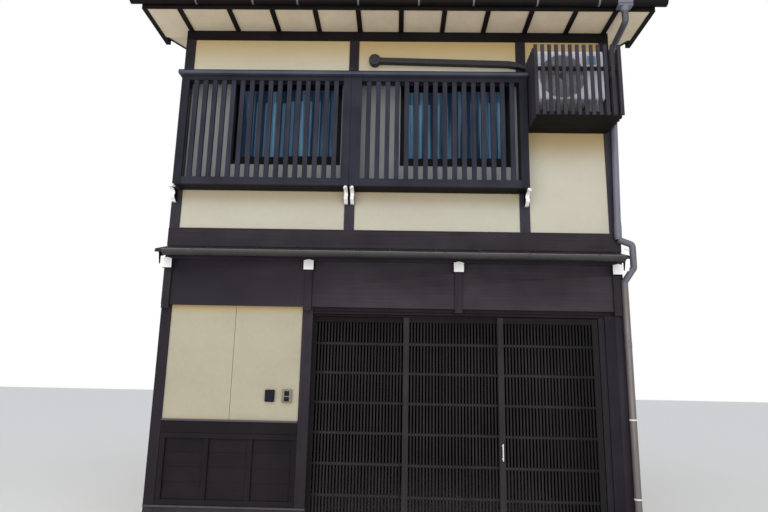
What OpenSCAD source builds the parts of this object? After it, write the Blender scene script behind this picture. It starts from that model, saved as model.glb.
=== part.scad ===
// Machiya townhouse: two storeys, a canopy roof, lattice boxes and a garage with sliding lattice leaves.
// Millimetres. The street front faces -Y, the ground is Z = 0, the origin is the middle of the plan.

/* [Frontage] */
// Width of each of the two wide bays, between post centres
bay_wide = 1820; // [1700:10:2000]
// Width of the narrow bay on the right, between post centres
bay_narrow = 910; // [860:10:1100]
// Side of a post
post_w = 105; // [90:1:120]
// Distance from the left corner post to the garage post, between centres
garage_post_at = 1437; // [1390:1:1500]
// Depth of the house over its front and rear posts
depth = 7385; // [6000:5:9000]

/* [Heights] */
// Height of the plinth above the ground
plinth_h = 400; // [300:5:500]
// Height of the wainscot, over its top rail
wainscot_h = 664; // [600:1:720]
// Height of the rail between the wainscot and the wall boards
panel_rail_h = 125; // [90:1:150]
// Height of the posts of the ground floor
lower_post_h = 2514; // [2440:1:2700]
// Height of the beam between the storeys
sill_beam_h = 191; // [150:1:220]
// How far that beam stands proud of the posts
sill_beam_proud = 10; // [4:1:15]
// Height of the posts of the upper floor
upper_post_h = 2166; // [2100:1:2300]
// Height of the wall plate that shows below the eaves
plate_h = 110; // [80:1:150]

/* [Walls] */
// How far the plaster stands back from the face of the posts
plaster_set = 15; // [8:1:20]
// Thickness of the plastered wall between posts
plaster_t = 70; // [50:1:80]
// Distance from the left corner post to the joint of the wall boards
board_joint_at = 710; // [500:1:900]
// Width of the joint between the wall boards
board_joint_w = 4; // [2:1:8]
// Width of the wainscot's stiles and rails
wainscot_bar = 52; // [40:1:70]
// Number of wainscot panels in the left bay
wainscot_panels = 3; // [2:1:4]
// Depth of the wainscot's panels behind its frame
wainscot_sink = 22; // [10:1:30]
// How far the wainscot's frame stands behind the face of the posts
wainscot_set = 6; // [3:1:10]
// Thickness of a sheet metal drip
flash_t = 4; // [2:1:6]
// How far a drip stands out of what it covers
flash_out = 8; // [4:1:15]

/* [Entry boxes] */
// Width of the dark box
dark_box_w = 100; // [80:1:120]
// Height of the dark box
dark_box_h = 117; // [90:1:140]
// Its left edge, from the left corner post's centre
dark_box_at = 1050; // [900:1:1080]
// Width of the door station
station_w = 94; // [80:1:110]
// Height of the door station
station_h = 126; // [100:1:150]
// Its left edge, from the left corner post's centre
station_at = 1222; // [1180:1:1250]
// Height of the middle of both boxes above the ground
entry_box_z = 1432; // [1350:1:1600]
// How far both boxes stand out of the wall boards
entry_box_d = 34; // [20:1:50]

/* [Garage doorway] */
// Height of the lintel's underside above the ground
lintel_z = 2272; // [2200:1:2300]
// Depth of the lintel
lintel_h = 300; // [200:1:360]
// Width of the jamb board beside the right post
jamb_w = 102; // [60:1:130]
// Width of the door stop beside the jamb board
stop_w = 60; // [40:1:80]
// Thickness of the garage floor
floor_t = 60; // [40:1:100]
// Thickness of the head track
head_track_t = 25; // [18:1:30]
// Height of a floor rail
rail_h = 10; // [6:1:14]
// Width of a floor rail
rail_w = 8; // [6:1:12]

/* [Lattice leaves] */
// How far the left leaf's edge lies behind the garage post
leaf_hide = 24; // [12:1:60]
// Thickness of a sliding leaf
leaf_t = 33; // [28:1:36]
// Gap between the leaves of neighbouring tracks
track_gap = 14; // [12:1:16]
// How far the front leaf stands behind the face of the posts
track_set = 18; // [12:1:24]
// Gap between a leaf's top and the head track
head_gap = 10; // [6:1:12]
// Width of a leaf's stiles and top rail
leaf_stile = 60; // [45:1:75]
// Height of a leaf's bottom rail
leaf_foot = 137; // [100:1:180]
// Number of upright bars in a leaf
leaf_bars = 27; // [21:1:29]
// Width of an upright bar
leaf_bar_w = 16; // [12:1:18]
// Thickness of the layer with the upright bars
leaf_bar_t = 15; // [10:1:18]
// Distance between the cross rails of a leaf
leaf_rail_pitch = 290; // [260:1:330]
// Height of a cross rail
leaf_rail_h = 24; // [16:1:34]
// Number of cross rails
leaf_rails = 6; // [5:1:6]
// Height of the pull's middle above the ground
pull_z = 948; // [900:1:1100]
// Length of the pull
pull_len = 158; // [120:1:220]
// Diameter of the pull's grip
pull_d = 12; // [10:1:16]
// Diameter of the pull's feet
pull_foot_d = 9; // [7:1:10]
// Distance of the pull's feet from its ends
pull_foot_in = 19; // [12:1:30]
// How far the pull stands out of the leaf
pull_out = 34; // [26:1:45]

/* [Canopy] */
// Slope of the canopy roof, rise over run
canopy_slope = 0.3; // [0.2:0.01:0.35]
// How far the canopy boards reach out of the posts' face
canopy_out = 370; // [370:1:400]
// Thickness of the canopy boards, measured upright
canopy_t = 30; // [20:1:40]
// How far the canopy runs past the left corner post's centre
canopy_left_out = 23; // [0:1:40]
// How far the canopy stops short of the right corner post's centre
canopy_right_in = 12; // [0:1:40]
// Height of the curtain board's lower edge above the ground
curtain_z = 2310; // [2290:1:2340]
// Thickness of the curtain board
curtain_t = 25; // [18:1:32]
// How far the battens hang below the curtain board
batten_drop = 42; // [20:1:60]
// Width of a batten on the curtain board
batten_w = 75; // [60:1:90]
// Thickness of a batten on the curtain board
batten_t = 25; // [18:1:30]
// Width of a bracket arm
arm_w = 100; // [85:1:110]
// Height of a bracket arm
arm_h = 94; // [85:1:100]
// Height of the bracket arms' underside above the ground
arm_z = 2676; // [2640:1:2690]
// How far the arms reach out of the posts' face
arm_out = 96; // [85:1:99]
// How far the left arm stands outside the left corner post's centre
arm_left_out = 2; // [0:1:2]
// How far the right arm stands inside the right corner post's centre
arm_right_in = 28; // [24:1:40]
// Distance from the left corner post to the arm over the garage doorway
arm_mid_at = 2945; // [2700:5:3200]
// Thickness of the purlin on the arms
purlin_w = 56; // [40:1:65]
// Thickness of the white ends of arms and end boards
white_t = 4; // [2:1:6]
// Rise of the pointed top of an arm's white end
white_peak = 12; // [4:1:15]
// Depth of the canopy's end boards
end_board_h = 120; // [90:1:130]
// Thickness of the canopy's end boards
end_board_t = 40; // [30:1:50]
// How far the end boards reach out of the posts' face
end_board_out = 366; // [300:1:366]
// Length of the end boards' deep outer ends
end_nose = 30; // [20:1:60]
// Depth of the end boards behind those ends
end_back_h = 48; // [36:1:70]
// Radius of the canopy gutter
canopy_gutter_r = 52; // [35:1:56]
// How far the canopy gutter stops short of the canopy's left end
canopy_gutter_left_in = 103; // [60:1:120]
// How far the canopy gutter stops short of the canopy's right end
canopy_gutter_right_in = 64; // [60:1:120]
// Height of the canopy gutter's brim over the boards' lower edge
brim_lift = 14; // [8:1:24]
// Wall of the gutters
gutter_wall = 3; // [2:0.5:4]

/* [Windows] */
// Width of a window
window_w = 1185; // [1000:5:1250]
// Height of a window
window_h = 950; // [850:5:1000]
// Distance from a window's right side to the bay's right post centre
window_in = 117; // [80:1:200]
// How far a window's head lies below the top of the lattice box's cap
window_head = 5; // [0:1:20]
// Face width of a window's outer frame
frame_face = 42; // [30:1:55]
// Depth of a window's outer frame
frame_depth = 90; // [84:1:100]
// How far the window frame stands proud of the plaster
frame_proud = 8; // [4:1:12]
// Face width of a sash's stiles
sash_stile = 40; // [30:1:50]
// Height of a sash's top rail
sash_top = 44; // [30:1:60]
// Height of a sash's bottom rail
sash_foot = 58; // [45:1:75]
// Thickness of a sash
sash_t = 28; // [22:1:30]
// Thickness of the glass
glass_t = 5; // [3:1:8]

/* [Lattice boxes] */
// How far a lattice box stands out of the posts' face
box_out = 210; // [180:1:240]
// Height of a box's underside above the beam between the storeys
box_lift = 416; // [390:1:440]
// Height of a box under its cap
box_h = 1211; // [1150:1:1230]
// Thickness of a box's front and sides
box_t = 36; // [28:1:40]
// Width of a box's corner stiles
box_stile = 84; // [70:1:95]
// Width of the right box's stile beside the left box
box_mid_stile = 108; // [84:1:115]
// Distance from the left corner post's centre to the left box
box_left_in = 18; // [0:1:25]
// How far the right box runs past the right middle post's centre
box_right_past = 14; // [0:1:18]
// Number of bars in a box's front
box_bars = 16; // [14:1:17]
// Width of a bar
box_bar_w = 48; // [40:1:50]
// Height of a box's bottom rail
box_foot = 80; // [60:1:100]
// Height of a box's top rail
box_head = 58; // [45:1:80]
// Thickness of a box's bottom board
box_floor_t = 20; // [15:1:30]
// Height of the cap
cap_h = 44; // [36:1:60]
// How far the cap stands out of the box
cap_out = 38; // [25:1:45]
// How far the left cap runs past the left box's side
cap_left = 32; // [10:1:36]
// How far the right cap runs past the right box's side
cap_right = 8; // [4:1:11]
// Thickness of a scroll bracket
scroll_w = 40; // [30:1:46]
// Height of a scroll bracket
scroll_h = 140; // [125:1:160]
// How far a scroll bracket reaches out
scroll_out = 186; // [160:1:200]
// Depth of a scroll bracket's tip under the box
scroll_tip = 22; // [16:1:30]
// Depth of its narrowest place under the box
scroll_neck_down = 57; // [45:1:68]
// How far it stands out at its narrowest place
scroll_neck = 80; // [65:1:95]
// How far its foot stands out
scroll_toe = 48; // [40:1:60]
// Swelling of the lower scroll
scroll_swell = 34; // [20:1:45]
// Distance from the end posts' centres to the outer brackets' centres
scroll_end_at = 12; // [0:1:16]

/* [Outdoor unit] */
// Width of the cage
cage_w = 872; // [840:1:885]
// Distance from the right middle post's centre to the cage
cage_at = 34; // [30:1:40]
// How far the cage stands out of the posts' face
cage_out = 465; // [440:1:490]
// Height of the cage's floor above the beam between the storeys
cage_lift = 1097; // [1060:1:1130]
// Thickness of the cage's floor
cage_floor_t = 30; // [20:1:40]
// Height of the cage's bars
cage_h = 760; // [735:5:800]
// Width of a bar of the cage
cage_bar_w = 36; // [28:1:42]
// Thickness of a bar of the cage
cage_bar_t = 18; // [12:1:22]
// Number of bars in the cage's front
cage_bars = 13; // [11:1:14]
// Height of the cage's rail above its floor
cage_rail_z = 487; // [450:1:520]
// Height of that rail
cage_rail_h = 40; // [30:1:50]
// Width of the outdoor unit
unit_w = 660; // [600:5:700]
// Height of the outdoor unit
unit_h = 526; // [505:1:550]
// Depth of the outdoor unit
unit_d = 280; // [250:5:290]
// Height of the blocks under the unit
unit_foot = 177; // [140:1:190]
// Distance from the right middle post's centre to the unit
unit_at = 96; // [80:1:110]
// Gap between the unit and the wall
unit_gap = 100; // [80:1:110]
// Radius of the unit's fan guard
fan_r = 230; // [200:1:235]
// Gap between the fan guard and the unit's left side
fan_in = 6; // [4:1:40]
// How far the fan guard stands out
fan_out = 10; // [6:1:16]
// Height of the fan guard's centre above the unit's underside
fan_up = 244; // [238:1:265]
// Width of a block under the unit
unit_foot_w = 80; // [60:1:100]
// Distance from the unit's sides to those blocks
unit_foot_in = 79; // [50:1:120]
// Height of the duct cover
duct_h = 58; // [50:1:70]
// How far the duct cover stands out of the posts' face
duct_out = 48; // [40:1:56]
// Radius of the round cap at the duct's left end
duct_cap_r = 62; // [50:1:70]
// How far that cap stands out of the posts' face
duct_cap_out = 60; // [57:1:70]
// Distance from the middle post's centre to the duct's left end
duct_at = 167; // [130:1:250]
// Gap between the lattice box's cap and the duct's lower end
duct_gap = 179; // [150:1:190]
// Fall of the duct over its length
duct_fall = 32; // [20:1:60]
// Length of the duct's bent right end
duct_bend = 90; // [70:5:120]
// Fall of that end
duct_bend_fall = 14; // [8:1:20]
// Height of the pipes from the duct to the cage
duct_link_h = 44; // [36:1:48]
// Fall of those pipes
duct_link_fall = 34; // [20:1:40]

/* [Roof] */
// Slope of the roof, rise over run
roof_slope = 0.35; // [0.3:0.01:0.4]
// How far the eaves reach out of the posts' face
eave_out = 410; // [380:5:450]
// How far the eaves' ends reach past the corner posts' centres
ear_out = 400; // [380:5:420]
// How far the eaves' ends return along the sides
ear_back = 285; // [250:5:400]
// Depth of the fascia boards
fascia_h = 80; // [70:1:100]
// Thickness of the fascia boards
fascia_t = 9; // [8:1:24]
// Thickness of the boards at the sides of the eaves' ends
ear_board_t = 52; // [30:1:60]
// Thickness of the eaves' boards
soffit_t = 12; // [9:1:18]
// Width of an eaves batten
eave_batten_w = 52; // [40:1:60]
// Thickness of an eaves batten
eave_batten_t = 14; // [8:1:20]
// Distance from the left corner post to the first batten between the ends
eave_batten_at = 523; // [460:1:560]
// Distance between eaves battens
eave_batten_pitch = 452; // [420:1:470]
// Number of eaves battens between the ends
eave_battens = 9; // [7:1:9]
// Thickness of the roof, measured upright
roof_t = 50; // [40:1:70]
// How far the roof runs past its fascias
roof_edge = 15; // [10:1:20]
// Depth of the verge boards below the roof
verge_h = 280; // [265:1:300]
// How far the verge boards hang below the sloping eaves' boards
verge_lip = 8; // [4:1:12]
// Thickness of the verge boards
verge_t = 30; // [20:1:40]
// Reach of the ridge cap to each side
ridge_w = 160; // [120:5:200]
// Thickness of the ridge cap
ridge_t = 30; // [20:1:40]
// Radius of the eaves gutters
gutter_r = 52; // [45:1:60]
// Drop of the eaves gutters below the roof's edge
gutter_drop = 4; // [2:1:8]
// How far the eaves gutters run past the eaves' ends
gutter_past = 100; // [40:5:120]

/* [Rainwater pipe] */
// Diameter of the downpipe
pipe_d = 66; // [55:1:75]
// Pipe's centre under the eaves, from the right corner post's centre
pipe_top_x = 65; // [55:1:80]
// Pipe's centre above the jog, from the right corner post's centre
pipe_mid_x = 10; // [0:1:40]
// Outer run's centre, from the right corner post's centre
pipe_jog_x = 148; // [120:1:170]
// Lower run's centre, from the right corner post's centre
pipe_low_x = 47; // [44:1:70]
// Gap between the pipe and the posts' face
pipe_gap = 16; // [14:1:25]
// Height of the top of the jog above the ground
jog_top = 3040; // [3000:5:3080]
// Height of the foot of the jog above the ground
jog_foot = 2608; // [2580:1:2630]
// Height of the upper slanting piece of the jog
jog_top_slant = 50; // [40:1:80]
// Height of the lower slanting piece of the jog
jog_foot_slant = 145; // [120:1:165]
// Height of the pipe's open end above the ground
pipe_end_z = 60; // [20:5:150]
// Growth of the pipe's diameter at its bends and at the collecting head
pipe_rim = 4; // [2:1:8]
// Height of the collecting head under the gutter
pipe_head_h = 60; // [50:1:90]
// Height of its straight upper part
pipe_head_lip = 18; // [10:1:30]
// Width of the collecting head
pipe_head_w = 150; // [110:1:170]
// Height of the straight neck under the collecting head
pipe_neck_h = 82; // [70:1:100]
// Height of the slanting piece from the neck to the wall
pipe_swan_h = 79; // [70:1:120]
// Height of the pipe clips
clip_h = 24; // [16:1:36]
// Height of the lowest clip above the drip on the plinth
clip_1_z = 159; // [120:1:250]
// Height of the second clip above the drip on the plinth
clip_2_z = 866; // [800:1:950]
// Height of the third clip above the drip on the plinth
clip_3_z = 1581; // [1500:1:1650]
// Height of the fourth clip above the beam between the storeys
clip_4_z = 91; // [60:1:150]
// Distance of the highest clip below the wall plate
clip_5_down = 480; // [400:5:600]

/* [Hidden] */

// Colours
timber = "#3a3439";
timber_deep = "#2b2629";
cream = "#c6bb9c";
soffit_cream = "#a79b86";
white_paint = "#e8e4e2";
dark_metal = "#4a4749";
pipe_brown = "#6b6764";
mortar = "#5b5856";
concrete = "#8d8a85";

// Clearance between a sliding leaf and its floor rail, and seam between neighbouring pieces
fit = 0.3;
// Least clearance of a leaf from posts and stops
door_clear = 5;

// Places across the front
half_w = bay_wide + bay_narrow / 2;
left_x = -half_w;
post_x = [left_x, left_x + bay_wide, left_x + 2 * bay_wide, half_w];
outer_x = half_w + post_w / 2;
inner_x = half_w - post_w / 2;
garage_post_x = left_x + garage_post_at;
door_left = garage_post_x + post_w / 2;
jamb_x = inner_x - jamb_w;
stop_x = jamb_x - stop_w;

// Places in the depth: out(p) is p millimetres out of the face of the posts
front_y = -depth / 2;
function out(p) = front_y - p;
wall_face = out(-plaster_set);
wall_back = wall_face + plaster_t;
post_back = front_y + post_w;

// Heights
post_foot = plinth_h + flash_t;
rail_foot = post_foot + wainscot_h;
board_foot = rail_foot + panel_rail_h;
sill_beam_z = post_foot + lower_post_h;
sill_top = sill_beam_z + sill_beam_h;
plate_z = sill_top + upper_post_h;
soffit_z = plate_z + plate_h;
roof_foot = soffit_z + fascia_h;
box_z = sill_top + box_lift;
box_top = box_z + box_h + cap_h;
window_z = box_top - window_head - window_h;
cage_z = sill_top + cage_lift;
cage_x = post_x[2] + cage_at;

// Underside of the roof at p millimetres out of the front posts' face
function roof_under(p) = roof_foot + (eave_out - p) * roof_slope;
ridge_under = roof_under(-depth / 2);

// Underside and top of the canopy boards at p millimetres out of the posts' face
function canopy_top(p) = sill_beam_z - p * canopy_slope;
function canopy_under(p) = canopy_top(p) - canopy_t;
canopy_x0 = left_x - canopy_left_out;
canopy_x1 = half_w - canopy_right_in;
arm_x = [left_x - arm_left_out, garage_post_x, left_x + arm_mid_at, half_w - arm_right_in];
curtain_x0 = arm_x[0] - arm_w / 2;
curtain_x1 = arm_x[3] + batten_w / 2;

// Sliding leaves: index 0 is the left leaf on the rear track, 2 the right leaf on the front track
leaf_z = floor_t + rail_h + fit;
leaf_h = lintel_z - head_track_t - head_gap - leaf_z;
leaf_end_x = stop_x - door_clear;
leaf_w = (leaf_end_x - door_left + leaf_hide + 2 * leaf_stile) / 3;
leaf_pitch = leaf_w - leaf_stile;
function leaf_x(i) = leaf_end_x - leaf_w - (2 - i) * leaf_pitch;
function leaf_y(i) = out(-track_set) + (2 - i) * (leaf_t + track_gap);

// A block between two opposite corners
module block(low, high) {
    translate(low) cube(high - low);
}

// A shape drawn in depth and height, run along X from x0 to x1
module run_x(x0, x1, outline) {
    translate([x0, 0, 0]) rotate([90, 0, 90]) linear_extrude(x1 - x0) polygon(outline);
}

// The same on the front and, turned about, on the rear
module front_and_rear() {
    children();
    mirror([0, 1, 0]) children();
}

// The same on the right and, turned about, on the left
module both_sides() {
    children();
    mirror([1, 0, 0]) children();
}

// The same at both ends of what runs from x0 to x1
module both_ends(x0, x1) {
    children();
    translate([x0 + x1, 0, 0]) mirror([1, 0, 0]) children();
}

module plinth() {
    color(mortar) {
        both_sides() block([inner_x, front_y, 0], [outer_x, -front_y, plinth_h]);
        block([fit - inner_x, front_y, 0], [door_left, post_back, plinth_h]);
        block([jamb_x, front_y, 0], [inner_x - fit, post_back, plinth_h]);
        block([fit - inner_x, -post_back, 0], [inner_x - fit, -front_y, plinth_h]);
    }
}

module garage_floor() {
    color(concrete) {
        block([-inner_x, post_back, 0], [inner_x, -post_back, floor_t]);
        block([door_left, front_y, 0], [jamb_x, post_back - fit, floor_t]);
    }
}

// Drip on the plinth from x0 to x1
module plinth_drip(x0, x1) {
    block([x0, out(flash_out), plinth_h], [x1, post_back, post_foot]);
}

// Drip on the panel rail from x0 to x1
module rail_drip(x0, x1) {
    block([x0, out(flash_out), board_foot], [x1, wall_face, board_foot + flash_t]);
}

module drip_flashings() {
    color(dark_metal) {
        plinth_drip(-outer_x, door_left);
        plinth_drip(jamb_x, outer_x);
        rail_drip(-inner_x, garage_post_x - post_w / 2);
        mirror([0, 1, 0]) plinth_drip(-outer_x, outer_x);
        for (i = [0:2])
            mirror([0, 1, 0]) rail_drip(post_x[i] + post_w / 2, post_x[i + 1] - post_w / 2);
        for (i = [0:2])
            front_and_rear() block([post_x[i] + post_w / 2, out(sill_beam_proud + flash_out / 2), sill_top],
                [post_x[i + 1] - post_w / 2, wall_face, sill_top + flash_t]);
    }
}

module ground_post(x) {
    block([x - post_w / 2, front_y, post_foot], [x + post_w / 2, post_back, sill_beam_z]);
}

module ground_posts() {
    color(timber) {
        for (x = [left_x, garage_post_x, half_w]) ground_post(x);
        for (x = post_x) mirror([0, 1, 0]) ground_post(x);
    }
}

module door_jamb() {
    color(timber) {
        block([jamb_x, front_y, post_foot], [inner_x, post_back, lintel_z]);
        block([stop_x, out(-track_set + door_clear), floor_t],
            [jamb_x - fit, leaf_y(0) + leaf_t + door_clear, lintel_z - head_track_t]);
    }
}

module ground_wall() {
    joint = left_x + board_joint_at;
    color(cream) {
        block([-inner_x, wall_face, board_foot], [joint - board_joint_w / 2, wall_back, sill_beam_z]);
        block([joint + board_joint_w / 2, wall_face, board_foot],
            [garage_post_x - post_w / 2, wall_back, sill_beam_z]);
        for (i = [0:2])
            mirror([0, 1, 0]) block([post_x[i] + post_w / 2, wall_face, board_foot],
                [post_x[i + 1] - post_w / 2, wall_back, sill_beam_z]);
    }
}

// Panelled wainscot with its rail, between x0 and x1, with a number of panels
module wainscot_bay(x0, x1, panels) {
    face = out(-wainscot_set);
    panel_w = (x1 - x0 - wainscot_bar * (panels + 1)) / panels;
    difference() {
        block([x0, face, post_foot], [x1, post_back, rail_foot]);
        for (i = [0:panels - 1])
            translate([x0 + wainscot_bar + i * (panel_w + wainscot_bar), face - 1, post_foot + wainscot_bar])
                cube([panel_w, wainscot_sink + 1, wainscot_h - 2 * wainscot_bar]);
    }
    block([x0, front_y, rail_foot], [x1, post_back, board_foot]);
}

module wainscot() {
    color(timber_deep) {
        wainscot_bay(-inner_x, garage_post_x - post_w / 2, wainscot_panels);
        for (i = [0:2])
            mirror([0, 1, 0]) wainscot_bay(post_x[i] + post_w / 2, post_x[i + 1] - post_w / 2,
                i < 2 ? wainscot_panels + 1 : wainscot_panels - 1);
    }
}

module entry_boxes() {
    color("#3d3a3f") translate([left_x + dark_box_at, wall_face - entry_box_d, entry_box_z - dark_box_h / 2])
        cube([dark_box_w, entry_box_d, dark_box_h]);
    color("#8b8a8e") translate([left_x + station_at, wall_face - entry_box_d, entry_box_z - station_h / 2])
        cube([station_w, entry_box_d, station_h]);
}

module garage_lintel() {
    color(timber) {
        block([door_left, front_y, lintel_z], [inner_x, post_back, lintel_z + lintel_h]);
        block([door_left, front_y, lintel_z + lintel_h], [inner_x, wall_back, sill_beam_z]);
    }
}

module head_track() {
    fin_t = track_gap - 2 * door_clear;
    foot = lintel_z - head_track_t;
    color(timber_deep) {
        block([door_left, out(-track_set + door_clear), foot],
            [jamb_x, leaf_y(0) + leaf_t + door_clear, lintel_z]);
        for (i = [0:1])
            block([door_left, leaf_y(i) - door_clear - fin_t, foot - 2 * head_gap],
                [stop_x, leaf_y(i) - door_clear, foot - fit]);
    }
}

module floor_rails() {
    color("#77777a") for (i = [0:2])
        translate([door_left, leaf_y(i) + leaf_t / 2 - rail_w / 2, floor_t])
            cube([stop_x - door_left, rail_w, rail_h]);
}

// Outline of a leaf with openings between its upright bars, drawn in width and height
module leaf_bar_layer() {
    inner_w = leaf_w - 2 * leaf_stile;
    gap = (inner_w - leaf_bars * leaf_bar_w) / (leaf_bars + 1);
    difference() {
        square([leaf_w, leaf_h]);
        for (i = [0:leaf_bars])
            translate([leaf_stile + i * (gap + leaf_bar_w), leaf_foot])
                square([gap, leaf_h - leaf_foot - leaf_stile]);
    }
}

// Outline of a leaf with openings between its cross rails
module leaf_rail_layer() {
    difference() {
        square([leaf_w, leaf_h]);
        translate([leaf_stile, leaf_foot]) square([leaf_w - 2 * leaf_stile, leaf_h - leaf_foot - leaf_stile]);
    }
    for (i = [1:leaf_rails])
        translate([leaf_stile, leaf_h - i * leaf_rail_pitch]) square([leaf_w - 2 * leaf_stile, leaf_rail_h]);
}

module leaf(i) {
    color(timber_deep) translate([leaf_x(i), leaf_y(i), leaf_z]) {
        translate([0, leaf_bar_t, 0]) rotate([90, 0, 0]) linear_extrude(leaf_bar_t) leaf_bar_layer();
        translate([0, leaf_t, 0]) rotate([90, 0, 0]) linear_extrude(leaf_t - leaf_bar_t) leaf_rail_layer();
    }
}

module leaf_left() {
    leaf(0);
}

module leaf_middle() {
    leaf(1);
}

module leaf_right() {
    leaf(2);
}

module pull_handle() {
    foot_z = pull_len / 2 - pull_foot_in;
    color(white_paint) translate([leaf_x(2) + leaf_stile / 2, leaf_y(2), pull_z]) {
        translate([0, pull_d / 2 - pull_out, -pull_len / 2]) cylinder(h = pull_len, d = pull_d, $fn = 32);
        for (z = [-foot_z, foot_z])
            translate([0, 0, z]) rotate([90, 0, 0])
                cylinder(h = pull_out - pull_d / 2, d = pull_foot_d, $fn = 32);
    }
}

// Bodies of the bracket arms, larger all round by the clearance g
module arm_bodies(g) {
    for (x = arm_x)
        block([x - arm_w / 2 - g, out(arm_out), arm_z - g],
            [x + arm_w / 2 + g, front_y, arm_z + arm_h + g]);
}

module curtain_board() {
    color(timber) difference() {
        run_x(curtain_x0, curtain_x1, [[out(curtain_t), curtain_z], [front_y, curtain_z],
            [front_y, canopy_under(0)], [out(curtain_t), canopy_under(curtain_t)]]);
        arm_bodies(fit);
    }
}

module curtain_battens() {
    face = out(curtain_t);
    color(timber) for (x = arm_x)
        block([x - batten_w / 2, face - batten_t, curtain_z - batten_drop],
            [x + batten_w / 2, face, arm_z]);
}

module canopy_arms() {
    p0 = curtain_t + fit;
    p1 = p0 + purlin_w;
    foot = arm_z + arm_h + fit;
    color(timber) {
        arm_bodies(0);
        run_x(canopy_x0, canopy_x1, [[out(p1), foot], [out(p0), foot],
            [out(p0), canopy_under(p0)], [out(p1), canopy_under(p1)]]);
    }
}

// Lower corner of the end boards' outer end, which is cut square to the slope
end_cut_p = end_board_out - end_board_h * canopy_slope / (1 + canopy_slope * canopy_slope);
end_cut_z = canopy_under(end_cut_p) - end_board_h;

module canopy_boards() {
    p0 = arm_out + white_t + fit;
    p1 = end_board_out;
    nose_p = end_cut_p - end_nose;
    color(timber_deep) {
        run_x(canopy_x0, canopy_x1, [[out(canopy_out), canopy_under(canopy_out)],
            [front_y, canopy_under(0)], [front_y, canopy_top(0)], [out(canopy_out), canopy_top(canopy_out)]]);
        for (x = [canopy_x0, canopy_x1 - end_board_t])
            run_x(x, x + end_board_t, [[out(end_cut_p), end_cut_z],
                [out(nose_p), canopy_under(nose_p) - end_board_h],
                [out(nose_p), canopy_under(nose_p) - end_back_h],
                [out(p0), canopy_under(p0) - end_back_h], [out(p0), canopy_under(p0) - fit],
                [out(p1), canopy_under(p1) - fit]]);
    }
}

module white_ends() {
    top_z = canopy_under(end_board_out) - fit;
    fall = white_t * canopy_slope;
    color(white_paint) {
        for (x = arm_x)
            translate([x - arm_w / 2, out(arm_out), arm_z]) rotate([90, 0, 0]) linear_extrude(white_t)
                polygon([[0, 0], [arm_w, 0], [arm_w, arm_h], [arm_w / 2, arm_h + white_peak], [0, arm_h]]);
        for (x = [canopy_x0, canopy_x1 - end_board_t])
            run_x(x, x + end_board_t, [[out(end_cut_p), end_cut_z], [out(end_board_out), top_z],
                [out(end_board_out + white_t), top_z - fall], [out(end_cut_p + white_t), end_cut_z - fall]]);
    }
}

// Half round gutter from x0 to x1, its middle at p out of the face, its brim at height z
module gutter(x0, x1, p, z, r) {
    translate([x0, out(p), z]) rotate([0, 90, 0]) difference() {
        cylinder(h = x1 - x0, r = r, $fn = 64);
        translate([0, 0, gutter_wall])
            cylinder(h = x1 - x0 - 2 * gutter_wall, r = r - gutter_wall, $fn = 64);
        translate([-2 * r, -2 * r, -1]) cube([2 * r, 4 * r, x1 - x0 + 2]);
    }
}

module canopy_gutter() {
    p = canopy_out + fit + canopy_gutter_r;
    brim = canopy_under(canopy_out) + brim_lift;
    x0 = canopy_x0 + canopy_gutter_left_in;
    x1 = canopy_x1 - canopy_gutter_right_in;
    color(dark_metal) gutter(x0, x1, p, brim, canopy_gutter_r);
}

module sill_beam() {
    color(timber) front_and_rear()
        block([-outer_x, out(sill_beam_proud), sill_beam_z], [outer_x, post_back, sill_top]);
}

module upper_posts() {
    color(timber) for (x = post_x)
        front_and_rear() block([x - post_w / 2, front_y, sill_top], [x + post_w / 2, post_back, plate_z]);
}

// Plaster between x0 and x1, from height z0 to z1
module plaster(x0, x1, z0, z1) {
    block([x0, wall_face, z0], [x1, wall_back, z1]);
}

// Plaster round the window of the bay between post centres a and b
module window_bay(a, b) {
    x0 = a + post_w / 2;
    x1 = b - post_w / 2;
    w1 = b - window_in;
    w0 = w1 - window_w;
    z1 = window_z + window_h;
    plaster(x0, x1, sill_top, window_z - fit);
    plaster(x0, w0, window_z, z1);
    plaster(w1, x1, window_z, z1);
    plaster(x0, x1, z1 + fit, plate_z);
}

module upper_wall() {
    color(cream) front_and_rear() {
        for (i = [0, 1]) window_bay(post_x[i], post_x[i + 1]);
        plaster(post_x[2] + post_w / 2, post_x[3] - post_w / 2, sill_top, plate_z);
    }
}

// Wall plates, with their tops cut to the roof
module wall_plate() {
    color(timber) front_and_rear() run_x(-outer_x, outer_x, [[front_y, plate_z], [post_back, plate_z],
        [post_back, roof_under(-post_w)], [front_y, roof_under(0)]]);
}

// Sizes of a window's two sashes: the right one runs in front, the left one behind
sash_w = (window_w - 2 * frame_face + sash_stile) / 2;
sash_h = window_h - 2 * frame_face;
frame_y = wall_face - frame_proud;
function sash_x(i) = frame_face + i * (sash_w - sash_stile);
function sash_y(i) = frame_y + frame_depth / 2 - i * sash_t;

// Left edge of the window between the posts i and i + 1
function window_x(i) = post_x[i + 1] - window_in - window_w;

// Frame with two sashes, its left edge at x
module window_set(x) {
    translate([x, 0, window_z]) {
        difference() {
            translate([0, frame_y, 0]) cube([window_w, frame_depth, window_h]);
            translate([frame_face, frame_y - 1, frame_face])
                cube([window_w - 2 * frame_face, frame_depth + 2, sash_h]);
        }
        for (i = [0, 1])
            translate([sash_x(i), sash_y(i), frame_face]) difference() {
                cube([sash_w, sash_t, sash_h]);
                translate([sash_stile, -1, sash_foot])
                    cube([sash_w - 2 * sash_stile, sash_t + 2, sash_h - sash_foot - sash_top]);
            }
    }
}

module window_frames() {
    color("#17161a") front_and_rear() for (i = [0, 1]) window_set(window_x(i));
}

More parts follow.
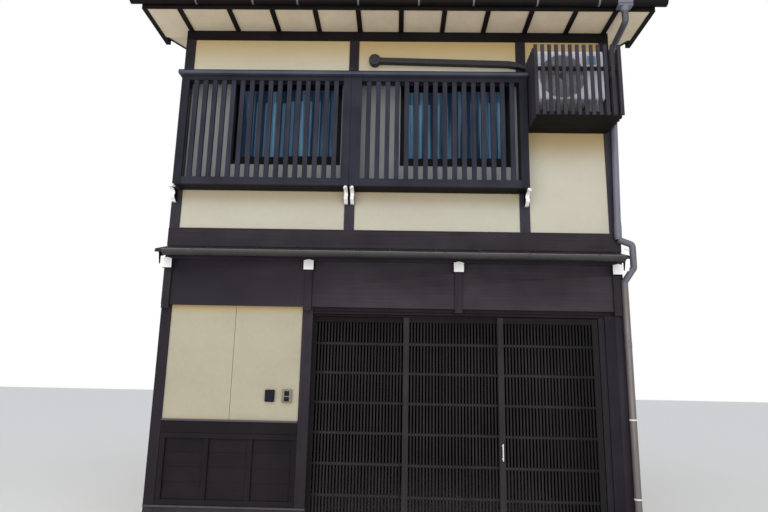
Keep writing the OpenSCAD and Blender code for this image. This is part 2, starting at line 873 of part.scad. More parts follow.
module window_glass() {
    color("#55809a", 0.6) front_and_rear() for (bay = [0, 1], i = [0, 1])
        translate([window_x(bay) + sash_x(i) + sash_stile, sash_y(i) + (sash_t - glass_t) / 2,
            window_z + frame_face + sash_foot])
            cube([sash_w - 2 * sash_stile, glass_t, sash_h - sash_foot - sash_top]);
}

// Lattice box from x0 to x1 with a left stile of its own width; its cap runs past by left and right
module lattice_box(x0, x1, stile, left, right) {
    w = x1 - x0;
    gap = (w - stile - box_stile - box_bars * box_bar_w) / (box_bars + 1);
    opening_h = box_h - box_foot - box_head;
    back = out(box_out - box_t) + fit;
    side_d = front_y - back;
    side_gap = (side_d - box_bar_w) / 2;
    translate([x0, out(box_out - box_t), box_z]) rotate([90, 0, 0]) linear_extrude(box_t) difference() {
        square([w, box_h]);
        for (i = [0:box_bars])
            translate([stile + i * (gap + box_bar_w), box_foot]) square([gap, opening_h]);
    }
    for (x = [x0, x1 - box_t])
        translate([x, back, box_z]) difference() {
            cube([box_t, side_d, box_h]);
            for (y = [-1, side_gap + box_bar_w])
                translate([-1, y, box_foot]) cube([box_t + 2, side_gap + 1, opening_h]);
        }
    block([x0 + box_t + fit, back, box_z], [x1 - box_t - fit, front_y, box_z + box_floor_t]);
    block([x0 - left, out(box_out + cap_out), box_top - cap_h + fit], [x1 + right, front_y, box_top]);
}

module lattice_box_left() {
    color(timber) lattice_box(post_x[0] + box_left_in, post_x[1] - fit, box_stile, cap_left, 0);
}

module lattice_box_right() {
    color(timber) lattice_box(post_x[1] + fit, post_x[2] + box_right_past, box_mid_stile, 0, cap_right);
}

// Lower edge of a scroll bracket's arm, at share t of the way from its neck out
function scroll_arm(t) = [out(scroll_neck + (scroll_out - scroll_neck) * (1 - cos(90 * t))),
    box_z - scroll_neck_down + (scroll_neck_down - scroll_tip) * sin(90 * t)];

// Outer edge of its lower scroll, at share t of the way from its neck down
function scroll_foot(t) = [
    out(scroll_neck + (scroll_toe - scroll_neck) * t + scroll_swell * pow(sin(180 * t), 2)),
    box_z - scroll_neck_down - (scroll_h - scroll_neck_down) * t];

module scroll_bracket(x) {
    steps = 12;
    back = [[front_y, box_z - scroll_h], [front_y, box_z], [out(scroll_out), box_z]];
    arm = [for (i = [0:steps]) scroll_arm(1 - i / steps)];
    foot = [for (i = [1:steps]) scroll_foot(i / steps)];
    run_x(x, x + scroll_w, concat(back, arm, foot));
}

module scroll_brackets() {
    side = post_w / 2;
    color(white_paint) {
        scroll_bracket(post_x[0] - scroll_end_at - scroll_w / 2);
        scroll_bracket(post_x[1] - side);
        scroll_bracket(post_x[1] + side - scroll_w);
        scroll_bracket(post_x[2] + scroll_end_at - scroll_w / 2);
    }
}

module unit_cage() {
    x0 = cage_x;
    x1 = x0 + cage_w;
    pitch = (cage_w - cage_bar_w) / (cage_bars - 1);
    side_bars = floor(cage_out / pitch) - 1;
    back = out(cage_out - cage_bar_t);
    rail_low = cage_z + cage_rail_z;
    inset = 2 * cage_bar_t + fit;
    color(timber) {
        block([x0 + cage_bar_t + fit, back + cage_bar_t + fit, cage_z],
            [x1 - cage_bar_t - fit, front_y, cage_z + cage_floor_t]);
        for (i = [0:cage_bars - 1])
            translate([x0 + i * pitch, out(cage_out), cage_z]) cube([cage_bar_w, cage_bar_t, cage_h]);
        for (z = [cage_z, rail_low])
            block([x0 + inset, back, z], [x1 - inset, back + cage_bar_t, z + cage_rail_h]);
        both_ends(x0, x1) {
            for (i = [1:side_bars])
                translate([x0, out(cage_out) + i * pitch, cage_z]) cube([cage_bar_t, cage_bar_w, cage_h]);
            block([x0 + cage_bar_t, back + fit, rail_low],
                [x0 + 2 * cage_bar_t, front_y, rail_low + cage_rail_h]);
        }
    }
}

module outdoor_unit() {
    x0 = post_x[2] + unit_at;
    z0 = cage_z + cage_floor_t;
    z1 = z0 + unit_foot;
    face = out(unit_gap + unit_d);
    color("#c4c1d2") {
        block([x0, face, z1], [x0 + unit_w, out(unit_gap), z1 + unit_h]);
        translate([x0 + fan_r + fan_in, face, z1 + fan_up]) rotate([90, 0, 0])
            cylinder(h = fan_out, r = fan_r, $fn = 64);
    }
    color("#3a3a3d") for (x = [x0 + unit_foot_in, x0 + unit_w - unit_foot_in - unit_foot_w])
        block([x, face + unit_foot_w / 4, z0], [x + unit_foot_w, out(unit_gap + unit_foot_w / 4), z1 - fit]);
}

module duct_cover() {
    r = duct_h / 2;
    x0 = post_x[1] + duct_at + duct_cap_r;
    x1 = post_x[2] - post_w / 2;
    bend_x = x1 - duct_bend;
    z1 = box_top + duct_gap + r;
    z0 = z1 + duct_fall;
    end_z = z1 - duct_bend_fall;
    low_z = end_z - duct_link_fall;
    link_r = duct_link_h / 2;
    color(timber_deep) {
        translate([0, wall_face, 0]) rotate([90, 0, 0]) {
            translate([x0, z0]) cylinder(h = plaster_set + duct_cap_out, r = duct_cap_r, $fn = 48);
            linear_extrude(plaster_set + duct_out) polygon([[x0, z0 - r], [bend_x, z1 - r],
                [x1, end_z - r], [x1, end_z + r], [bend_x, z1 + r], [x0, z0 + r]]);
        }
        translate([0, front_y, 0]) rotate([90, 0, 0]) linear_extrude(duct_out) polygon([[x1, end_z - link_r],
            [cage_x, low_z - link_r], [cage_x, low_z + link_r], [x1, end_z + link_r]]);
    }
}

module party_walls() {
    color(cream) for (x = [-outer_x, inner_x])
        run_x(x, x + post_w, [[post_back, plinth_h], [-post_back, plinth_h],
            [-post_back, roof_under(-post_w)], [0, ridge_under], [post_back, roof_under(-post_w)]]);
}

module upper_floor() {
    floor_d = 130;
    color("#8a7355") block([-inner_x, post_back, sill_top - floor_d], [inner_x, -post_back, sill_top]);
}

// Outer faces of the eaves' ends and of the verge boards
ear_x = half_w + ear_out;
verge_x = ear_x - ear_board_t;
// Where the level boards of the eaves meet the sloping ones under the verge
verge_p = eave_out - (verge_h - verge_lip - fascia_h) / roof_slope;

// One slope of the roof, with the wider ends over the eaves
module roof_slope_body() {
    edge = eave_out + roof_edge;
    back = ear_back + roof_edge;
    x = verge_x + roof_edge;
    run_x(-x, x, [[out(edge), roof_under(edge)], [0, ridge_under], [0, ridge_under + roof_t],
        [out(edge), roof_under(edge) + roof_t]]);
    both_sides() run_x(x, ear_x + roof_edge, [[out(edge), roof_under(edge)], [out(-back), roof_under(-back)],
        [out(-back), roof_under(-back) + roof_t], [out(edge), roof_under(edge) + roof_t]]);
}

module roof_front() {
    color(dark_metal) roof_slope_body();
}

module roof_rear() {
    color(dark_metal) mirror([0, 1, 0]) roof_slope_body();
}

module ridge_cap() {
    top = ridge_under + roof_t;
    low = top - ridge_w * roof_slope;
    x = verge_x + roof_edge;
    color(dark_metal) run_x(-x, x, [[-ridge_w, low], [0, top], [ridge_w, low], [ridge_w, low + ridge_t],
        [0, top + ridge_t], [-ridge_w, low + ridge_t]]);
}

// Height of the sloping boards' underside at p out of the posts' face
function slope_board_z(p) = roof_under(p) - verge_h + verge_lip;

module eaves_boards() {
    top = soffit_z + soffit_t;
    p = verge_p - fit;
    ridge_p = front_y + fit;
    color(soffit_cream) front_and_rear() {
        block([-verge_x, out(eave_out - fascia_t), soffit_z], [verge_x, front_y, top]);
        both_sides() {
            block([outer_x, front_y + fit, soffit_z], [verge_x, out(verge_p), top]);
            run_x(outer_x, verge_x - verge_t, [[out(p), slope_board_z(p)],
                [-fit, slope_board_z(ridge_p)], [-fit, slope_board_z(ridge_p) + soffit_t],
                [out(p), slope_board_z(p) + soffit_t]]);
        }
    }
}

// Board under the roof from x0 to x1, between p0 and p1 out of the posts' face
module eaves_board(x0, x1, p0, p1, foot) {
    run_x(x0, x1, [[out(p1), foot], [out(p0), foot], [out(p0), roof_under(p0) - fit],
        [out(p1), roof_under(p1) - fit]]);
}

module eaves_frame() {
    face = eave_out - fascia_t;
    foot = soffit_z - eave_batten_t / 2;
    ends = [left_x, half_w];
    between = [for (i = [0:eave_battens - 1]) left_x + eave_batten_at + i * eave_batten_pitch];
    color(timber_deep) front_and_rear() {
        eaves_board(-ear_x, ear_x, face, eave_out, foot);
        both_sides() eaves_board(verge_x, ear_x, -ear_back, face - fit, foot);
        for (x = concat(ends, between))
            block([x - eave_batten_w / 2, out(face - fit), soffit_z - eave_batten_t],
                [x + eave_batten_w / 2, front_y, soffit_z]);
    }
}

module verge_boards() {
    p = verge_p - fit;
    ridge_p = front_y + fit;
    color(timber_deep) front_and_rear() both_sides()
        run_x(verge_x - verge_t, verge_x, [[out(p), roof_under(p) - verge_h],
            [-fit, roof_under(ridge_p) - verge_h], [-fit, roof_under(ridge_p) - fit],
            [out(p), roof_under(p) - fit]]);
}

gutter_p = eave_out + fit + gutter_r;
gutter_z = roof_under(eave_out + roof_edge) - gutter_drop;

module eaves_gutters() {
    x = ear_x + gutter_past;
    color(dark_metal) front_and_rear() gutter(-x, x, gutter_p, gutter_z, gutter_r);
}

// Pipe along a list of points, with a ball at each bend
module pipe_along(points, d) {
    for (i = [0:len(points) - 2]) {
        v = points[i + 1] - points[i];
        length = norm(v);
        translate(points[i]) rotate([0, acos(v[2] / length), atan2(v[1], v[0])])
            cylinder(h = length, d = d, $fn = 32);
    }
    for (i = [1:len(points) - 2])
        translate(points[i]) sphere(d = d + pipe_rim, $fn = 32);
}

// Clip that holds the pipe at x to the face of the post
module pipe_clip(x, z) {
    translate([x, out(pipe_gap + pipe_d / 2), z]) cylinder(h = clip_h, d = pipe_d + 6, $fn = 32);
    block([x - clip_h / 2, out(pipe_gap + pipe_d / 2), z],
        [min(x + clip_h / 2, outer_x), front_y, z + clip_h]);
}

module downpipe() {
    y = out(pipe_gap + pipe_d / 2);
    top_x = half_w + pipe_top_x;
    mid_x = half_w + pipe_mid_x;
    jog_x = half_w + pipe_jog_x;
    low_x = half_w + pipe_low_x;
    head_half = pipe_head_w / 2;
    neck_half = (pipe_d + pipe_rim) / 2;
    head_top = gutter_z - gutter_r - fit;
    head_foot = head_top - pipe_head_h;
    neck_foot = head_foot - pipe_neck_h;
    wall_top = neck_foot - pipe_swan_h;
    lean = (top_x - mid_x) / (wall_top - jog_top);
    color(pipe_brown) {
        translate([top_x, out(gutter_p - gutter_r), head_top]) rotate([90, 0, 0])
            linear_extrude(2 * gutter_r) polygon([[-head_half, 0], [-head_half, -pipe_head_lip],
                [-neck_half, -pipe_head_h], [neck_half, -pipe_head_h], [head_half, -pipe_head_lip],
                [head_half, 0]]);
        pipe_along([[top_x, out(gutter_p), head_foot + 1], [top_x, out(gutter_p), neck_foot],
            [top_x, y, wall_top], [mid_x, y, jog_top], [jog_x, y, jog_top - jog_top_slant],
            [jog_x, y, jog_foot + jog_foot_slant], [low_x, y, jog_foot], [low_x, y, pipe_end_z]], pipe_d);
        for (z = [sill_top + clip_4_z, plate_z - clip_5_down])
            pipe_clip(mid_x + (z - jog_top) * lean, z);
        for (z = [clip_1_z, clip_2_z, clip_3_z])
            pipe_clip(low_x, post_foot + z);
    }
}

plinth();
garage_floor();
drip_flashings();
ground_posts();
door_jamb();
ground_wall();
wainscot();
entry_boxes();
garage_lintel();
head_track();
floor_rails();
leaf_left();
leaf_middle();
leaf_right();
pull_handle();
curtain_board();
curtain_battens();
canopy_arms();
canopy_boards();
white_ends();
canopy_gutter();
sill_beam();
upper_posts();
upper_wall();
wall_plate();
window_frames();
window_glass();
lattice_box_left();
lattice_box_right();
scroll_brackets();
unit_cage();
outdoor_unit();
duct_cover();
party_walls();
upper_floor();
roof_front();
roof_rear();
ridge_cap();
eaves_boards();
eaves_frame();
verge_boards();
eaves_gutters();
downpipe();
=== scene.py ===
# Looks for the machiya townhouse: eased and stained timber, lattices, plaster, sheet metal and glass around
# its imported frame. Sizes are millimetres in the frame's own axes: the front faces -Y, the ground is Z = 0.
import bpy
import bmesh
import math
from mathutils import Matrix, Vector


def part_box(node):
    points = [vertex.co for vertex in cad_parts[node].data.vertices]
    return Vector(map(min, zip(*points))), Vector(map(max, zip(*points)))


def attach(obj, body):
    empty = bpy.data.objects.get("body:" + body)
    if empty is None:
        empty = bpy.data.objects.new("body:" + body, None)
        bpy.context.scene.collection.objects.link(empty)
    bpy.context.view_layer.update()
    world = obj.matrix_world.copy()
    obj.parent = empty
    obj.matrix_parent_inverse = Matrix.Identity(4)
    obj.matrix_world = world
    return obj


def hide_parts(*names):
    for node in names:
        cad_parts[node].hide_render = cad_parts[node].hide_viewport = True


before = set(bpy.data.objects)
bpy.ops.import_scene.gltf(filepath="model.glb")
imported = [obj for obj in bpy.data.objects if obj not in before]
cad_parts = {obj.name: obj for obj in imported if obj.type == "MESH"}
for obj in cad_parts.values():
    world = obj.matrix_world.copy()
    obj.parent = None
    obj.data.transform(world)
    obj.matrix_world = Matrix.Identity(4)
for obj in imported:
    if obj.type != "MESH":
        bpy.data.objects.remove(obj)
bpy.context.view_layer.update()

MM = 0.001

# Places shared by many pieces
FRONT = -3692.5                            # front face of the posts
POSTS = (-2275.0, -455.0, 1365.0, 2275.0)  # post centres across the front
POST_W = 105.0
PLASTER_SET = 15.0                         # plaster stands this far behind the posts' face
WAINSCOT = (404.0, 1068.0)                 # foot and top of the wainscot's frame
RAIL_TOP = 1193.0                          # top of the rail over the wainscot
PLINTH_TOP = 400.0
BOX_FOOT, BOX_TOP = 3525.0, 4780.0         # lattice boxes
ROOF_SLOPE = 0.35
ROOF_EDGE_P = 425.0                        # roof's edge, out of the posts' face
ROOF_TOP = 5509.75                         # roof's upper surface at that edge
CANOPY_SLOPE = 0.3


def out(p):
    """Y of a place p millimetres out of the posts' face, on the front side."""
    return FRONT - p


def facing(side):
    """Matrix for a piece drawn at the front: side 1 leaves it there, side -1 turns it to the rear."""
    return Matrix.Rotation(math.pi, 4, "Z") if side < 0 else Matrix.Identity(4)


# ---- Camera, shader nodes and light ----

PHOTO_W, SENSOR_W = 768, 36.0              # pixels, millimetres


def look_from(place, yaw, pitch, roll, focal_px):
    """Camera at a place in metres; angles in degrees; focal length in pixels of the photo's width."""
    data = bpy.data.cameras.new("front_camera")
    data.sensor_width = SENSOR_W
    data.lens = focal_px / PHOTO_W * SENSOR_W
    data.clip_end = 200.0
    camera = bpy.data.objects.new("front_camera", data)
    bpy.context.scene.collection.objects.link(camera)
    yaw, pitch, roll = (math.radians(a) for a in (yaw, pitch, roll))
    ahead = Vector((-math.sin(yaw) * math.cos(pitch), math.cos(yaw) * math.cos(pitch), math.sin(pitch)))
    right = Vector((math.cos(yaw), math.sin(yaw), 0.0))
    up = right.cross(ahead)
    across = math.cos(roll) * right + math.sin(roll) * up
    above = -math.sin(roll) * right + math.cos(roll) * up
    pose = Matrix((across, above, -ahead)).transposed().to_4x4()
    pose.translation = Vector(place)
    camera.matrix_world = pose
    bpy.context.scene.camera = camera


def add(tree, kind, inputs=None, **settings):
    """Adds a shader node. An input is a value or another node's output socket."""
    made = tree.nodes.new("ShaderNode" + kind)
    for setting, value in settings.items():
        setattr(made, setting, value)
    for socket, value in (inputs or {}).items():
        if isinstance(value, bpy.types.NodeSocket):
            tree.links.new(value, made.inputs[socket])
        else:
            made.inputs[socket].default_value = value
    return made


def linear(code):
    """sRGB hex colour as linear RGBA."""
    parts = [int(code[i:i + 2], 16) / 255 for i in (1, 3, 5)]
    return tuple(c / 12.92 if c <= 0.04045 else ((c + 0.055) / 1.055) ** 2.4 for c in parts) + (1.0,)


def soft_sky():
    """Even pale light from all round; what the camera, metal and glass see of it is white."""
    world = bpy.data.worlds.new("studio_sky")
    bpy.context.scene.world = world
    world.use_nodes = True
    tree = world.node_tree
    tree.nodes.clear()
    rays = add(tree, "LightPath").outputs
    seen = add(tree, "Math", {0: rays["Is Camera Ray"], 1: rays["Is Transmission Ray"]}, operation="MAXIMUM")
    seen = add(tree, "Math", {0: seen.outputs[0], 1: rays["Is Glossy Ray"]}, operation="MAXIMUM")
    light = add(tree, "Background", {"Color": linear("#eef1f6"), "Strength": 0.75})
    white = add(tree, "Background", {"Color": (1.0, 1.0, 1.0, 1.0), "Strength": 1.0})
    mix = add(tree, "MixShader", {0: seen.outputs[0], 1: light.outputs[0], 2: white.outputs[0]})
    add(tree, "OutputWorld", {"Surface": mix.outputs[0]})


def softbox(width, height, place, down, watts):
    """A wide softbox towards the front, tipped down by an angle in degrees; sizes in metres."""
    data = bpy.data.lights.new("softbox", "AREA")
    data.shape = "RECTANGLE"
    data.size, data.size_y = width, height
    data.energy = watts
    lamp = bpy.data.objects.new("softbox", data)
    bpy.context.scene.collection.objects.link(lamp)
    lamp.location = place
    lamp.rotation_euler = (math.radians(90.0 - down), 0.0, 0.0)


# ---- Materials ----

def start(name, roughness, ior=1.5, metallic=0.0, specular=0.5):
    """A new material: returns it, its node tree and its shader, with the shader's constants set."""
    material = bpy.data.materials.new(name)
    material.use_nodes = True
    tree = material.node_tree
    tree.nodes.clear()
    shader = add(tree, "BsdfPrincipled", {"Roughness": roughness, "Metallic": metallic, "IOR": ior,
                                          "Specular IOR Level": specular})
    add(tree, "OutputMaterial", {"Surface": shader.outputs[0]})
    return material, tree, shader


def pattern(tree, size, stretch=(1, 1, 1), detail=3.0, roughness=0.5):
    """Noise whose blotches measure about size millimetres times stretch; returns its value."""
    place = add(tree, "TexCoord").outputs["Object"]
    scale = [1.0 / (size * MM * s) for s in stretch]
    placed = add(tree, "Mapping", {"Vector": place, "Scale": scale})
    inputs = {"Vector": placed.outputs[0], "Scale": 1.0, "Detail": detail, "Roughness": roughness}
    return add(tree, "TexNoise", inputs).outputs[0]


def blend(tree, value, low, high, dark, light):
    """Colour that goes from dark to light as value goes from low to high."""
    share = add(tree, "MapRange", {0: value, 1: low, 2: high}).outputs[0]
    return add(tree, "Mix", {0: share, 6: linear(dark), 7: linear(light)}, data_type="RGBA").outputs[2]


def sum_of(tree, *terms):
    """Sum of sockets, each times its weight."""
    total = None
    for socket, weight in terms:
        part = add(tree, "Math", {0: socket, 1: weight}, operation="MULTIPLY").outputs[0]
        total = part if total is None else add(tree, "Math", {0: total, 1: part}).outputs[0]
    return total


def position(tree):
    """X, Y and Z of the place in metres."""
    place = add(tree, "TexCoord").outputs["Object"]
    return add(tree, "SeparateXYZ", {0: place}).outputs


def stained_cedar(name, axis, dark, light, dust, *changes):
    """Cedar, planed and brushed with a dark stain: low sheen, faint streaks along the grain, each board of
    its own depth of colour, paler dust low down where rain splashes. A change blends the colour into another
    one along an axis: (axis, from, to, colour, share), in metres; most changes are painted shade."""
    material, tree, shader = start(name, 0.66, specular=0.12)
    # Rings of 3 mm are too fine to show, so the streaks are 16 mm wide and 900 mm long
    streak_w, streak_l, fibre_w, fibre_l = 16.0, 900.0, 7.0, 560.0
    long_streak = [streak_l / streak_w if i == axis else 1.0 for i in range(3)]
    long_fibre = [fibre_l / fibre_w if i == axis else 1.0 for i in range(3)]
    streaks = pattern(tree, streak_w, long_streak, detail=5.0, roughness=0.6)
    clouds = pattern(tree, 320.0, detail=2.0)
    board_tone = add(tree, "Attribute", attribute_name="tone").outputs["Fac"]
    depth = sum_of(tree, (streaks, 0.5), (clouds, 0.5), (board_tone, 0.07))
    wood = blend(tree, depth, 0.33, 0.69, dark, light)
    splash = add(tree, "MapRange", {0: position(tree)[2], 1: 1.0, 2: 0.35, 3: 0.0, 4: 0.35}).outputs[0]
    dusty = add(tree, "Math", {0: splash, 1: clouds}, operation="MULTIPLY").outputs[0]
    colour = add(tree, "Mix", {0: dusty, 6: wood, 7: linear(dust)}, data_type="RGBA").outputs[2]
    for way, begin, end, other, most in changes:
        share = add(tree, "MapRange", {0: position(tree)[way], 1: begin, 2: end, 3: 0.0, 4: most}).outputs[0]
        colour = add(tree, "Mix", {0: share, 6: colour, 7: linear(other)}, data_type="RGBA").outputs[2]
    tree.links.new(colour, shader.inputs["Base Color"])
    sheen = add(tree, "MapRange", {0: streaks, 3: 0.56, 4: 0.78}).outputs[0]
    tree.links.new(sheen, shader.inputs["Roughness"])
    fibres = pattern(tree, fibre_w, long_fibre)
    bump = add(tree, "Bump", {"Height": fibres, "Strength": 0.35, "Distance": 0.8 * MM})
    tree.links.new(bump.outputs[0], shader.inputs["Normal"])
    return material


def cedar_set(name, dark, light, dust, *changes):
    """The same stained cedar with its grain along X, along Y and upright."""
    return [stained_cedar(name + "_" + way, axis, dark, light, dust, *changes)
            for axis, way in enumerate(("level", "deep", "upright"))]


def lime_plaster(name, dark, light, indoor_shade, bands, grain=5.0):
    """Lime plaster, trowelled: matt and cloudy from the trowel. Painted shade makes it browner just under the
    timber that shades it and greyer behind the lattice boxes, and paints dark the faces that look into the
    house. A band is (colour, from x, to x, from z, to z, share at its top, height of its fade), in metres,
    on the front; the fade is at its foot."""
    material, tree, shader = start(name, 0.88)
    clouds = pattern(tree, 420.0, (1.6, 1.6, 1.0), detail=4.0, roughness=0.55)
    mottle = pattern(tree, 45.0)
    colour = blend(tree, sum_of(tree, (clouds, 0.7), (mottle, 0.3)), 0.3, 0.7, dark, light)
    x, y, z = position(tree)
    # Each band's colour is painted shade, mixed in over the plaster's own colour
    for stain, left, right, foot, top, most, fade in bands:
        share = add(tree, "MapRange", {0: z, 1: foot, 2: foot + fade, 3: 0.0, 4: most},
                    interpolation_type="SMOOTHSTEP").outputs[0]
        for socket, limit, way in ((y, 0.0, "LESS_THAN"), (z, top, "LESS_THAN"), (x, left, "GREATER_THAN"),
                                   (x, right, "LESS_THAN")):
            within = add(tree, "Math", {0: socket, 1: limit}, operation=way).outputs[0]
            share = add(tree, "Math", {0: share, 1: within}, operation="MULTIPLY").outputs[0]
        colour = add(tree, "Mix", {0: share, 6: colour, 7: linear(stain)}, data_type="RGBA").outputs[2]
    # Faces that look into the house are painted dark as the shade within it
    behind_face = -out(-PLASTER_SET - 4.0) * MM
    deep = add(tree, "Math", {0: y}, operation="ABSOLUTE").outputs[0]
    indoor_shade_share = add(tree, "Math", {0: deep, 1: behind_face}, operation="LESS_THAN").outputs[0]
    colour = add(tree, "Mix", {0: indoor_shade_share, 6: colour, 7: linear(indoor_shade)}, data_type="RGBA").outputs[2]
    tree.links.new(colour, shader.inputs["Base Color"])
    # Sand grains of 1 mm are drawn 5 mm wide or more so that they show
    sand = pattern(tree, grain, detail=2.0)
    bump = add(tree, "Bump", {"Height": sand, "Strength": 0.25, "Distance": 0.6 * MM})
    tree.links.new(bump.outputs[0], shader.inputs["Normal"])
    return material


def cement_mortar(name, dark, light, stain):
    """Cement mortar, floated: matt and sandy, with water marks that rise from the ground."""
    material, tree, shader = start(name, 0.9)
    clouds = pattern(tree, 260.0, (1.0, 1.0, 1.7), detail=5.0, roughness=0.62)
    # Sand of 1 mm is drawn 6 mm wide so that it shows
    sand = pattern(tree, 6.0, detail=2.0)
    base = blend(tree, sum_of(tree, (clouds, 0.75), (sand, 0.25)), 0.38, 0.64, dark, light)
    ragged = sum_of(tree, (position(tree)[2], 1.0), (clouds, 0.45))
    wet = add(tree, "MapRange", {0: ragged, 1: 0.36, 2: 0.22, 3: 0.0, 4: 0.6}).outputs[0]
    colour = add(tree, "Mix", {0: wet, 6: base, 7: linear(stain)}, data_type="RGBA").outputs[2]
    tree.links.new(colour, shader.inputs["Base Color"])
    relief = sum_of(tree, (sand, 0.6), (clouds, 0.4))
    bump = add(tree, "Bump", {"Height": relief, "Strength": 0.5, "Distance": 1.5 * MM})
    tree.links.new(bump.outputs[0], shader.inputs["Normal"])
    return material


def party_plaster_coat(name, dark, light, indoor_shade, streak):
    """Sprayed resin plaster on the party walls: fine grit, grey streaks where rain runs down; the inner
    faces are painted dark as the shade within the house."""
    material, tree, shader = start(name, 0.9)
    clouds = pattern(tree, 900.0, detail=4.0)
    runs = pattern(tree, 60.0, (1.0, 1.0, 22.0), detail=4.0, roughness=0.6)
    # Grit of 2 mm is drawn 7 mm wide so that it shows
    grit = pattern(tree, 7.0, detail=2.0)
    base = blend(tree, sum_of(tree, (clouds, 0.6), (grit, 0.4)), 0.38, 0.62, dark, light)
    x, _, z = position(tree)
    high = add(tree, "MapRange", {0: z, 1: 2.2, 2: 6.4, 3: 0.12, 4: 0.5}).outputs[0]
    run = add(tree, "MapRange", {0: runs, 1: 0.48, 2: 0.7}).outputs[0]
    share = add(tree, "Math", {0: run, 1: high}, operation="MULTIPLY").outputs[0]
    outer = add(tree, "Mix", {0: share, 6: base, 7: linear(streak)}, data_type="RGBA").outputs[2]
    # The inner faces are painted dark as the shade within the house
    inner_face = (POSTS[3] - 20.0) * MM
    across = add(tree, "Math", {0: x}, operation="ABSOLUTE").outputs[0]
    within = add(tree, "Math", {0: across, 1: inner_face}, operation="LESS_THAN").outputs[0]
    colour = add(tree, "Mix", {0: within, 6: outer, 7: linear(indoor_shade)}, data_type="RGBA").outputs[2]
    tree.links.new(colour, shader.inputs["Base Color"])
    bump = add(tree, "Bump", {"Height": grit, "Strength": 0.6, "Distance": 1.4 * MM})
    tree.links.new(bump.outputs[0], shader.inputs["Normal"])
    return material


def painted(name, colour, worn, roughness=0.4, size=180.0, relief=0.0, metallic=0.0, specular=0.5):
    """Paint, enamel or moulded plastic: one colour with thin dust or weathering in soft patches of about
    size millimetres, duller where it is worn."""
    material, tree, shader = start(name, roughness, metallic=metallic, specular=specular)
    patches = pattern(tree, size, (1.0, 1.0, 1.8), detail=4.0, roughness=0.6)
    fine = pattern(tree, 12.0)
    tone = sum_of(tree, (patches, 0.7), (fine, 0.3))
    tree.links.new(blend(tree, tone, 0.36, 0.68, colour, worn), shader.inputs["Base Color"])
    low, high = roughness - 0.07, roughness + 0.1
    sheen = add(tree, "MapRange", {0: tone, 1: 0.3, 2: 0.7, 3: low, 4: high}).outputs[0]
    tree.links.new(sheen, shader.inputs["Roughness"])
    if relief:
        bump = add(tree, "Bump", {"Height": fine, "Strength": 0.3, "Distance": relief * MM})
        tree.links.new(bump.outputs[0], shader.inputs["Normal"])
    return material


def window_pane(name, colour, fold_and_reflection, sheen):
    """Float glass, slightly wavy: its reflections are tinted blue as painted reflection of the sky, and its
    colour goes from dark to light blue in long upright streaks: a thin curtain's pleats in a dim room behind
    it, and painted reflection of the sky."""
    material, tree, shader = start(name, 0.02, ior=1.6)
    shader.inputs["Specular Tint"].default_value = linear(sheen)
    folds_and_reflections = pattern(tree, 60.0, (1.0, 1.0, 24.0))
    tree.links.new(blend(tree, folds_and_reflections, 0.45, 0.72, colour, fold_and_reflection), shader.inputs["Base Color"])
    waves = pattern(tree, 300.0, detail=1.0)
    bump = add(tree, "Bump", {"Height": waves, "Strength": 0.02, "Distance": 2.0 * MM})
    tree.links.new(bump.outputs[0], shader.inputs["Normal"])
    return material


# Stained cedar; the notes below say which copies carry painted shade and which painted light
TIMBER = cedar_set("stained_cedar", "#282227", "#39323a", "#403a3b")
# The ground posts are darker on the corner post, most on its outer side, and towards their feet
POST_TIMBER = stained_cedar("ground_post_cedar", 2, "#282227", "#39323a", "#39323a",
                            (0, -2.0, -2.25, "#1c181b", 0.6), (2, 1.3, 0.6, "#1c181b", 0.4))
# The curtain board darkens towards its left end
CURTAIN_TIMBER = cedar_set("curtain_cedar", "#2c262b", "#3f373d", "#403a3b", (0, -0.3, -1.7, "#25222a", 0.75))
UPPER_TIMBER = cedar_set("upper_cedar", "#21212b", "#33333e", "#33333e")
# The upper posts darken near their tops as painted shade under the eaves
UPPER_POST = stained_cedar("upper_post_cedar", 2, "#27252b", "#3c3941", "#3c3941",
                           (2, 4.72, 5.05, "#1c171a", 0.8))
# The boxes' head rails are darker than their bars as painted shade under the caps
HEAD_RAIL_SHADE = stained_cedar("box_head_cedar_painted_shade", 0, "#19191f", "#2a2a32", "#2a2a32")
OUTER_STILE = stained_cedar("outer_stile_cedar", 2, "#18181f", "#27272f", "#27272f")
CAGE_TIMBER = cedar_set("cage_cedar", "#28262c", "#3c393f", "#3c393f")
# The caps' faces are lighter than the other box timber as painted light from the sky
LIT_CAP_TIMBER = stained_cedar("cap_cedar_painted_light", 0, "#3d3e4a", "#50525f", "#50525f")
# The darkest cedar is a deep stain on the wainscot and painted shade on the lintel and the head track
DEEP_STAIN_AND_SHADE = cedar_set("deep_stained_cedar_and_painted_shade", "#120e11", "#201a1f", "#292327")
JAMB_TIMBER = cedar_set("jamb_cedar", "#1b181c", "#2a262b", "#302c30")
LEAF_TIMBER = cedar_set("leaf_cedar", "#252022", "#353033", "#403a3a")
